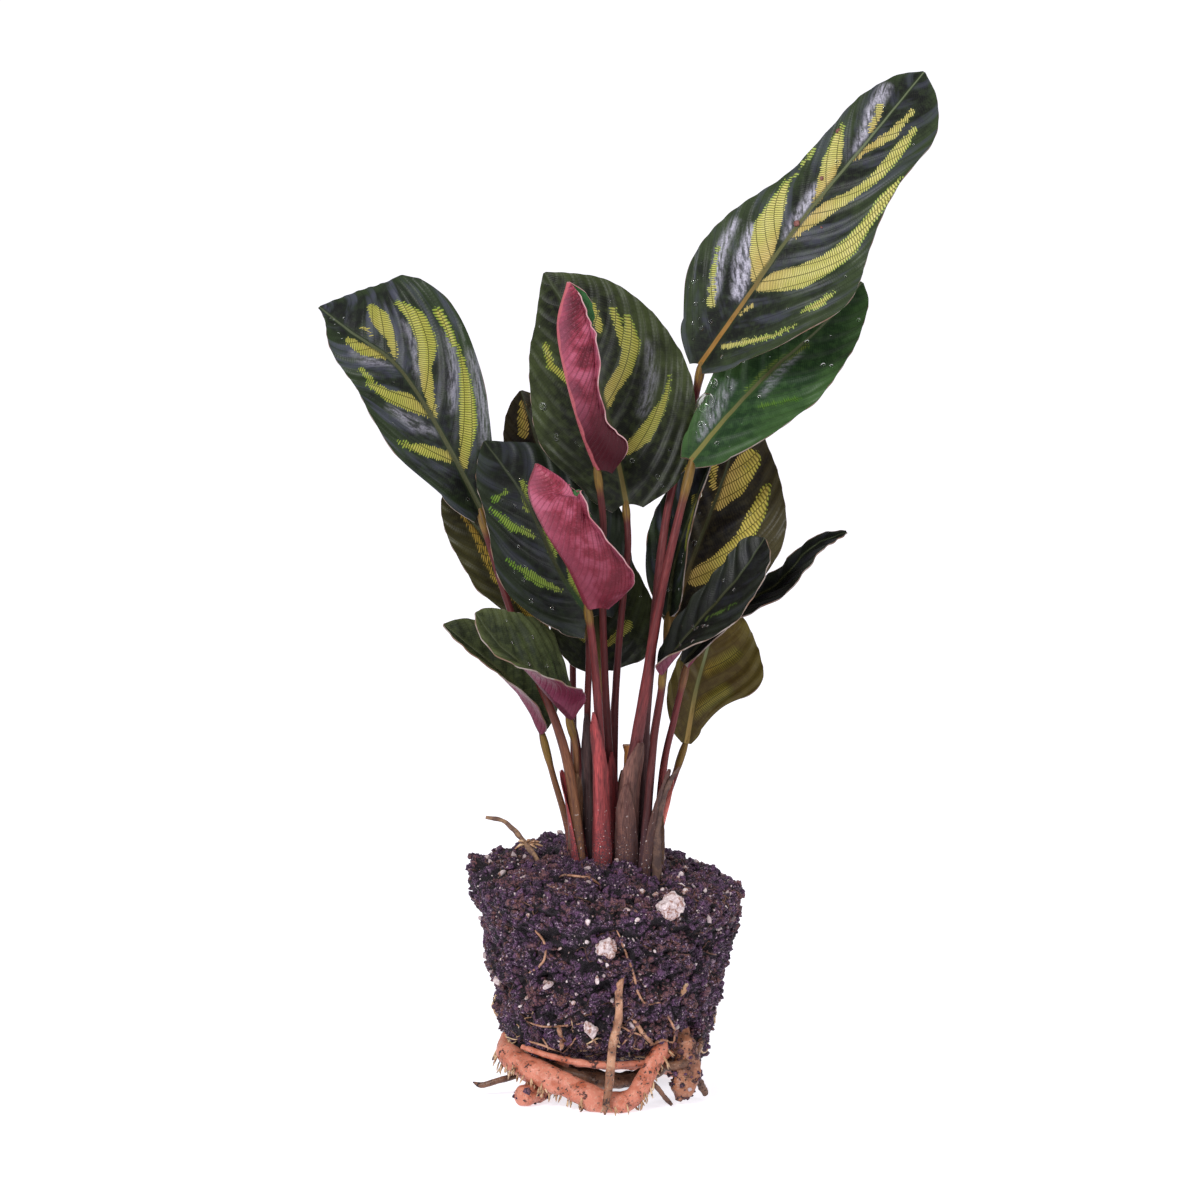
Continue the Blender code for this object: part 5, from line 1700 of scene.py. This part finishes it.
def threads(name, lines, radii, sides=0):
    """One mesh of many thin tubes, from the points and the thickness of each."""
    curve = bpy.data.curves.new(name, "CURVE")
    curve.dimensions = "3D"
    curve.bevel_depth = MM
    curve.bevel_resolution = sides
    curve.use_fill_caps = True
    for points, radius in zip(lines, radii):
        line = curve.splines.new("POLY")
        line.points.add(len(points) - 1)
        last = len(points) - 1
        for i, (dot, point) in enumerate(zip(line.points, points)):
            dot.co = (*point, 1.0)
            taper = min(1.0, 0.35 + 3 * (last - i) / last, 0.5 + 4 * i / last)
            dot.radius = radius * taper
    piece = bpy.data.objects.new(name, curve)
    bpy.context.scene.collection.objects.link(piece)
    select_only(piece)
    bpy.ops.object.convert(target="MESH")
    piece = bpy.context.object
    bpy.ops.object.mode_set(mode="EDIT")
    bpy.ops.mesh.select_all(action="SELECT")
    bpy.ops.mesh.remove_doubles(threshold=0.00001)
    bpy.ops.mesh.normals_make_consistent(inside=False)
    bpy.ops.object.mode_set(mode="OBJECT")
    piece.data.shade_smooth()
    keep_above_floor(piece)
    return piece


FIBRES = 210
lines, radii = [], []
for spot, normal in surface_spots(soil, FIBRES, lambda spot, normal: normal.z > -0.5):
    way = Vector(RANDOM.normal(0, 1, 3)) - Vector((0, 0, 0.8))
    lines.append(walk(soil_tree, spot, way.normalized(), 0.004 + 0.018 * RANDOM.random(), 0.0012, 0.28, 0.0001))
    radii.append(0.08 + 0.16 * RANDOM.random() ** 2)
lines, radii = zip(*[(line, radius) for line, radius in zip(lines, radii) if len(line) > 2])
fibres = threads("soil_fibres", lines, radii)
fibres.data.materials.append(root_skins["root_brown"])
hand_over(fibres, "soil_fibres", "root_brown")

ROOTLETS = 70
lines, radii = [], []
for spot, normal in surface_spots(soil, ROOTLETS, lambda spot, normal: spot.z < 0.026 and normal.z > -0.8):
    way = Vector((RANDOM.normal(0, 1), RANDOM.normal(0, 1), -0.6 + 0.4 * RANDOM.random()))
    lines.append(walk(soil_tree, spot, way.normalized(), 0.008 + 0.016 * RANDOM.random(), 0.0012, 0.3, 0.0003))
    radii.append(0.2 + 0.3 * RANDOM.random() ** 2)
lines, radii = zip(*[(line, radius) for line, radius in zip(lines, radii) if len(line) > 2])
rootlets = threads("fine_rootlets", lines, radii, 1)
rootlets.data.materials.append(root_skins["root_cream"])
hand_over(rootlets, "fine_rootlets", "root_orange")

# %% [markdown]
# Some longer roots can be told apart on the front of the ball. Each is drawn through a few pixels of the
# frame and laid on the soil behind them. Thicker ones cross under the ball and fill its hollow foot.

# %% Roots on the face of the ball and under it
FACE_ROOTS = (
    # thickness in mm and the pixels that it runs through
    (0.40, (535, 930), (545, 945), (543, 962), (527, 975)),
    (0.38, (617, 930), (632, 970), (637, 990), (645, 1003), (660, 1003)),
    (0.42, (555, 880), (565, 875), (580, 873), (600, 885)),
    (0.32, (527, 1022), (550, 1027), (585, 1023)),
    (0.85, (558, 1026), (562, 1042), (559, 1060)),
    (0.75, (633, 1020), (645, 1036), (659, 1050)),
    (0.30, (560, 1034), (572, 1048), (581, 1062)),
    (0.28, (577, 1036), (566, 1050), (556, 1056)),
    (0.34, (613, 1022), (632, 1032), (653, 1040)),
    (0.28, (641, 1018), (630, 1035), (621, 1046)),
    (0.38, (529, 1041), (545, 1046), (562, 1052)),
    (0.32, (590, 1036), (600, 1048), (598, 1058)),
    (0.45, (650, 1045), (665, 1040), (681, 1048)),
    (0.38, (668, 1016), (675, 1032), (671, 1048)),
    (0.45, (690, 1026), (697, 1042), (692, 1056)),
    (0.34, (505, 1040), (516, 1034), (528, 1043)),
    (0.30, (541, 1036), (548, 1047), (545, 1057)),
)
CROSS_ROOTS = (
    # thickness in mm and the points that it runs through, from the ball's middle
    (1.2, (-27, -20, 18), (-15, -28, 16), (-5, -29.5, 14.5), (6, -28, 14), (17, -25, 15), (24, -18, 19)),
    (1.5, (13, -20, 15), (20, -25, 13), (27, -22, 14), (31, -15, 19)),
    (1.3, (21, -16, 11), (28, -20, 9), (31, -18, 4), (32, -17, 1.6)),
    (2.2, (-24, -14, 12), (-10, -18, 8), (2, -20, 6.5), (13, -17, 7.5), (21, -10, 11)),
    (2.6, (-24, -6, 11), (-8, -8, 6), (8, -9, 5), (22, -3, 10)),
    (1.0, (-21, -22, 12), (-25, -21, 6), (-24, -19, 2), (-21, -20, 1.2)),
    (0.8, (10, -31, 10), (15, -29, 8), (19, -28, 3), (21, -29, 1)),
)


def face_line(pixels):
    """Points on the soil along a smooth line through pixels."""
    line = []
    count = 6 * (len(pixels) - 1)
    for i in range(count + 1):
        spot, normal = seen_at(along([Vector(pixel) for pixel in pixels], i / count))
        if spot is not None and abs(spot.y - axis.y) > 0.02:
            line.append(spot + normal * 0.0002)
    return line


lines = [face_line(pixels) for _, *pixels in FACE_ROOTS]
radii = [radius for radius, *_ in FACE_ROOTS]
lines, radii = zip(*[(line, radius) for line, radius in zip(lines, radii) if len(line) > 3])
face_roots = threads("face_roots", lines, radii, 2)
face_roots.data.materials.append(root_skins["root_tan"])
hand_over(face_roots, "face_roots", "root_orange")

for number, (radius, *points) in enumerate(CROSS_ROOTS):

    def radius_at(share, turn, radius=radius):
        return radius * (0.7 + 0.3 * math.sin(math.pi * share)) * (1 + 0.05 * math.sin(share * 61))

    piece, runs = sweep([Vector(point) for point in points], radius_at, 14, 60, lumps=0.3, lump_size=3.0)
    keep_above_floor(piece)
    piece.data.materials.append(root_skins["root_orange" if number in (0, 5) else "root_brown"])
    select_only(piece)
    bpy.ops.object.shade_smooth_by_angle(angle=math.radians(60))
    hand_over(piece, f"cross_root_{number + 1}", "root_brown")

# %% [markdown]
# Short pale hairs hang from the thick root at the front.

# %% Root hairs
HAIRS = 150
front_root = root_pieces["root_front"]
lines, radii = [], []
for spot, normal in surface_spots(front_root, HAIRS, lambda spot, normal: normal.z < 0.1 and spot.z > 0.001):
    way = (normal * 0.6 + Vector((RANDOM.normal(0, 0.3), RANDOM.normal(0, 0.3), -0.8))).normalized()
    length = 0.0016 + 0.0022 * RANDOM.random()
    bend = Vector(RANDOM.normal(0, 0.0003, 3))
    lines.append([spot + way * length * k + bend * k * k for k in (0.0, 0.33, 0.66, 1.0)])
    radii.append(0.27 + 0.12 * RANDOM.random())
hairs = threads("root_hairs", lines, radii)
hairs.data.materials.append(root_skins["root_cream"])
hand_over(hairs, "root_hairs", "root_orange")

# %% [markdown]
# A cut stub, a dry bract and a twig are brown and papery. They are swept along their own routes.

# %% Stub, bract and twig
def dry_finish(name, low, high):
    made, tree, shader = new_finish(name)
    cloud = grain(tree, 3.0, 4.0)
    fine = grain(tree, 0.6, 3.0)
    surface = paint(tree, ease(tree, cloud, 0.4, 0.62), low, high)
    surface = paint(tree, calc(tree, "MULTIPLY", ease(tree, fine, 0.5, 0.7), 0.6), surface, (0.045, 0.025, 0.025))
    link(tree, surface, shader, "Base Color")
    shader.inputs["Roughness"].default_value = 0.8
    bump(tree, shader, fine, 0.8, 0.4)
    return made


dry_skins = {
    "twig": dry_finish("dry_twig", (0.115, 0.062, 0.045), (0.25, 0.145, 0.080)),
    "dry_bract": dry_finish("dry_bract_skin", (0.055, 0.028, 0.024), (0.115, 0.062, 0.045)),
}
CUT_STEM = {"foot": (6.8, 5.6), "via": ((7.0, 5.4, 92), (7.4, 5.0, 112)), "radii": (1.9, 1.9, 2.0, 1.8)}
DRY_BRACT = {
    "foot": (16.2, -7.4),
    "via": ((16.3, -7.6, 90), (19, -8, 100), (23.5, -8, 107)),
    "radii": (1.4, 1.5, 1.6, 1.2, 0.3),
}
TWIG = ((-39, 4, 88.5), (-33, 4, 87), (-28, 2, 82.5), (-23, -3, 77), (-19, -9, 71), (-17, -12, 66))
TWIG_RADII = (0.6, 0.8, 0.9, 0.9, 0.8, 0.8)
DRY = {
    "cut_stem": (standing_route(CUT_STEM["foot"], CUT_STEM["via"]), CUT_STEM["radii"]),
    "dry_bract": (standing_route(DRY_BRACT["foot"], DRY_BRACT["via"]), DRY_BRACT["radii"]),
    "twig": ([Vector(point) for point in TWIG], TWIG_RADII),
}
for name, (route, radii) in DRY.items():

    def radius_at(share, turn, radii=list(radii)):
        return max(along(radii, share), 0.15) * (1 + 0.06 * math.sin(3 * turn + share * 9))

    piece, runs = sweep(route, radius_at, 14, 48, lumps=0.35, lump_size=2.4)
    if name == "cut_stem":
        torn = np.clip((runs[:, 0] - 0.86) / 0.06, 0, 1)[:, None]
        for vertex, (share, turn, _) in zip(piece.data.vertices, runs):
            if share > 0.985:
                vertex.co.z += (0.9 * noise.noise(Vector((math.cos(turn), math.sin(turn), 0)) * 2.2)) * MM
        tones = np.array((0.060, 0.034, 0.026)) * (1 - torn) + np.array((0.34, 0.15, 0.05)) * torn
        dress(piece, tones, soil_height(*CUT_STEM["foot"]), runs[:, 1])
    else:
        piece.data.materials.append(dry_skins[name])
        select_only(piece)
        bpy.ops.object.shade_smooth_by_angle(angle=math.radians(60))
    hand_over(piece, name + "_skin", "dry_sheath", name)

# %% Side shoots of the twig
KNOT = Vector((-26, 0.2, 80.4))
SHOOTS = ((4.5, -1.5, 1), (3.5, -2, -1), (-3.5, -1, -1.5), (1.5, -2, 1.8), (5.5, -1, -0.5), (-2.4, -1.5, 1.2))
lines, radii = [], []
for shoot in SHOOTS:
    tip = Vector(shoot)
    middle = tip * 0.5 + Vector((0, 0, 0.5))
    lines.append([place(KNOT), place(KNOT + middle), place(KNOT + tip)])
    radii.append(0.55)
shoots = threads("twig_shoots", lines, radii)
shoots.data.materials.append(root_skins["root_cream"])
hand_over(shoots, "twig_shoots", "dry_sheath")

# %% [markdown]
# Drops of water stand on the leaves after a spraying. A drop is a flattened ball, half sunk in the blade.

# %% Water drops
def water_finish():
    made, tree, shader = new_finish("water")
    shader.inputs["Base Color"].default_value = (0.96, 1.0, 0.97, 1)
    shader.inputs["Roughness"].default_value = 0.02
    shader.inputs["IOR"].default_value = 1.333
    shader.inputs["Transmission Weight"].default_value = 1.0
    return made


water = water_finish()
DROPS = {
    "leaf_right_upper": (
        (0.23, -0.82, 3.2), (0.31, -0.86, 1.5), (0.15, -0.6, 1.1), (0.34, -0.43, 0.7), (0.86, 0.8, 0.6),
        (0.65, 0.8, 0.6), (0.12, 0.3, 0.8), (0.45, -0.6, 0.5),
    ),
    "leaf_top_right": (
        (0.2, -0.86, 0.8), (0.15, -0.75, 0.7), (0.1, -0.5, 0.9), (0.13, -0.35, 0.7), (0.07, 0.5, 0.7),
        (0.26, -0.84, 0.5), (0.23, -0.74, 0.45), (0.18, -0.93, 0.4), (0.1, -0.75, 0.55), (0.06, -0.6, 0.5),
        (0.17, -0.6, 0.4), (0.12, -0.62, 0.35), (0.21, -0.8, 0.35),
    ),
    "leaf_centre_top": ((0.5, -0.84, 1.3), (0.1, 0.6, 0.9), (0.06, 0.75, 0.7), (0.3, -0.5, 0.5), (0.2, 0.7, 0.6)),
    "leaf_centre_left": ((0.5, -0.5, 0.6), (0.42, -0.72, 0.5), (0.66, -0.3, 0.6), (0.2, -0.6, 0.7)),
    "leaf_right_folded": ((0.3, -0.3, 1.3), (0.5, -0.2, 0.9), (0.18, -0.1, 1.0), (0.62, -0.5, 0.7)),
    "leaf_right_back": ((0.3, -0.3, 0.8), (0.4, -0.1, 0.9), (0.5, -0.35, 0.7)),
    "leaf_right_dark": ((0.4, 0.5, 0.6), (0.6, 0.2, 0.6)),
    "leaf_front_left": ((0.5, 0.1, 0.6), (0.35, 0.4, 0.5), (0.65, 0.3, 0.5)),
    "leaf_left_top": ((0.08, 0.4, 0.8), (0.12, 0.6, 0.6), (0.05, -0.3, 0.6)),
}
DROP_HEIGHT = 0.55
DROP_FOOT = 0.1
SPRAYED = (
    "leaf_top_right", "leaf_right_upper", "leaf_centre_top", "leaf_centre_left", "leaf_right_folded",
    "leaf_right_dark", "leaf_front_left", "leaf_left_top", "leaf_right_back", "leaf_centre_low",
)
SPRAY = 12


def on_leaf(name, share, across):
    """A point on a blade's upper side, the way out of the blade there, and the way along it."""
    blade = LEAVES[name]
    spot = blade_point(blade, share, across)
    ahead = blade_point(blade, share + 0.01, across) - blade_point(blade, share - 0.01, across)
    aside = blade_point(blade, share, across + 0.02) - blade_point(blade, share, across - 0.02)
    normal = aside.cross(ahead).normalized()
    if normal.dot(rib_frame(blade, share)[3]) < 0:
        normal.negate()
    found, point, out, _ = blades[name].ray_cast(place(spot + normal * 3), -normal)
    assert found, name
    if out.dot(normal) < 0:
        out.negate()
    return point, out, (ahead - out * ahead.dot(out)).normalized()


bpy.ops.object.select_all(action="DESELECT")
bpy.ops.mesh.primitive_uv_sphere_add(segments=20, ring_count=12, radius=1.0)
drop_model = bpy.context.object
drop_points = np.array([vertex.co[:] for vertex in drop_model.data.vertices])
drop_faces = [list(face.vertices) for face in drop_model.data.polygons]
bpy.data.objects.remove(drop_model)
wet = [(name, *drop) for name, drops in DROPS.items() for drop in drops]
for name in SPRAYED:
    for _ in range(SPRAY):
        share, across, size = RANDOM.random(3)
        wet.append((name, 0.08 + 0.8 * share, 1.7 * across - 0.85, 0.25 + 0.6 * size**2))
bpy.context.view_layer.update()
verts, faces = [], []
for name, share, across, size in wet:
    spot, normal, side = on_leaf(name, share, across)
    turn = np.array(Matrix((normal.cross(side), side, normal)).transposed())
    shaped = drop_points * np.array((1.0, 1.15, DROP_HEIGHT))
    shaped[:, 2] = np.where(shaped[:, 2] < 0, shaped[:, 2] * DROP_FOOT, shaped[:, 2])
    shaped = shaped @ turn.T * size * MM + np.array(spot)
    start = len(verts)
    verts += [tuple(row) for row in shaped]
    faces += [[start + i for i in face] for face in drop_faces]
mesh = bpy.data.meshes.new("water_drops")
mesh.from_pydata(verts, [], faces)
mesh.update()
drops_piece = bpy.data.objects.new("water_drops", mesh)
bpy.context.scene.collection.objects.link(drops_piece)
mesh.shade_smooth()
mesh.materials.append(water)
hand_over(drops_piece, "water_drops", "leaf_green")

# %% [markdown]
# Three red-brown galls and a tan one dot the tallest leaf.

# %% Dots on the tallest leaf
DOTS = ((0.50, -0.04, 0.95), (0.62, -0.26, 0.95), (0.73, -0.80, 0.75), (0.53, 0.28, 0.5))
spots = []
for share, across, size in DOTS:
    spot, normal, _ = on_leaf("leaf_top_right", share, across)
    spots.append((spot, normal))
dots = scatter("leaf_dots", spots, [size for _, _, size in DOTS], small_grain(3), 0.3)
gall, tree, shader = new_finish("gall_brown")
link(tree, paint(tree, ease(tree, grain(tree, 0.6, 3.0), 0.4, 0.6), (0.11, 0.030, 0.028), (0.20, 0.075, 0.060)), shader, "Base Color")
shader.inputs["Roughness"].default_value = 0.6
dots.data.materials.append(gall)
dots.data.shade_smooth()
hand_over(dots, "leaf_dots", "dry_sheath")
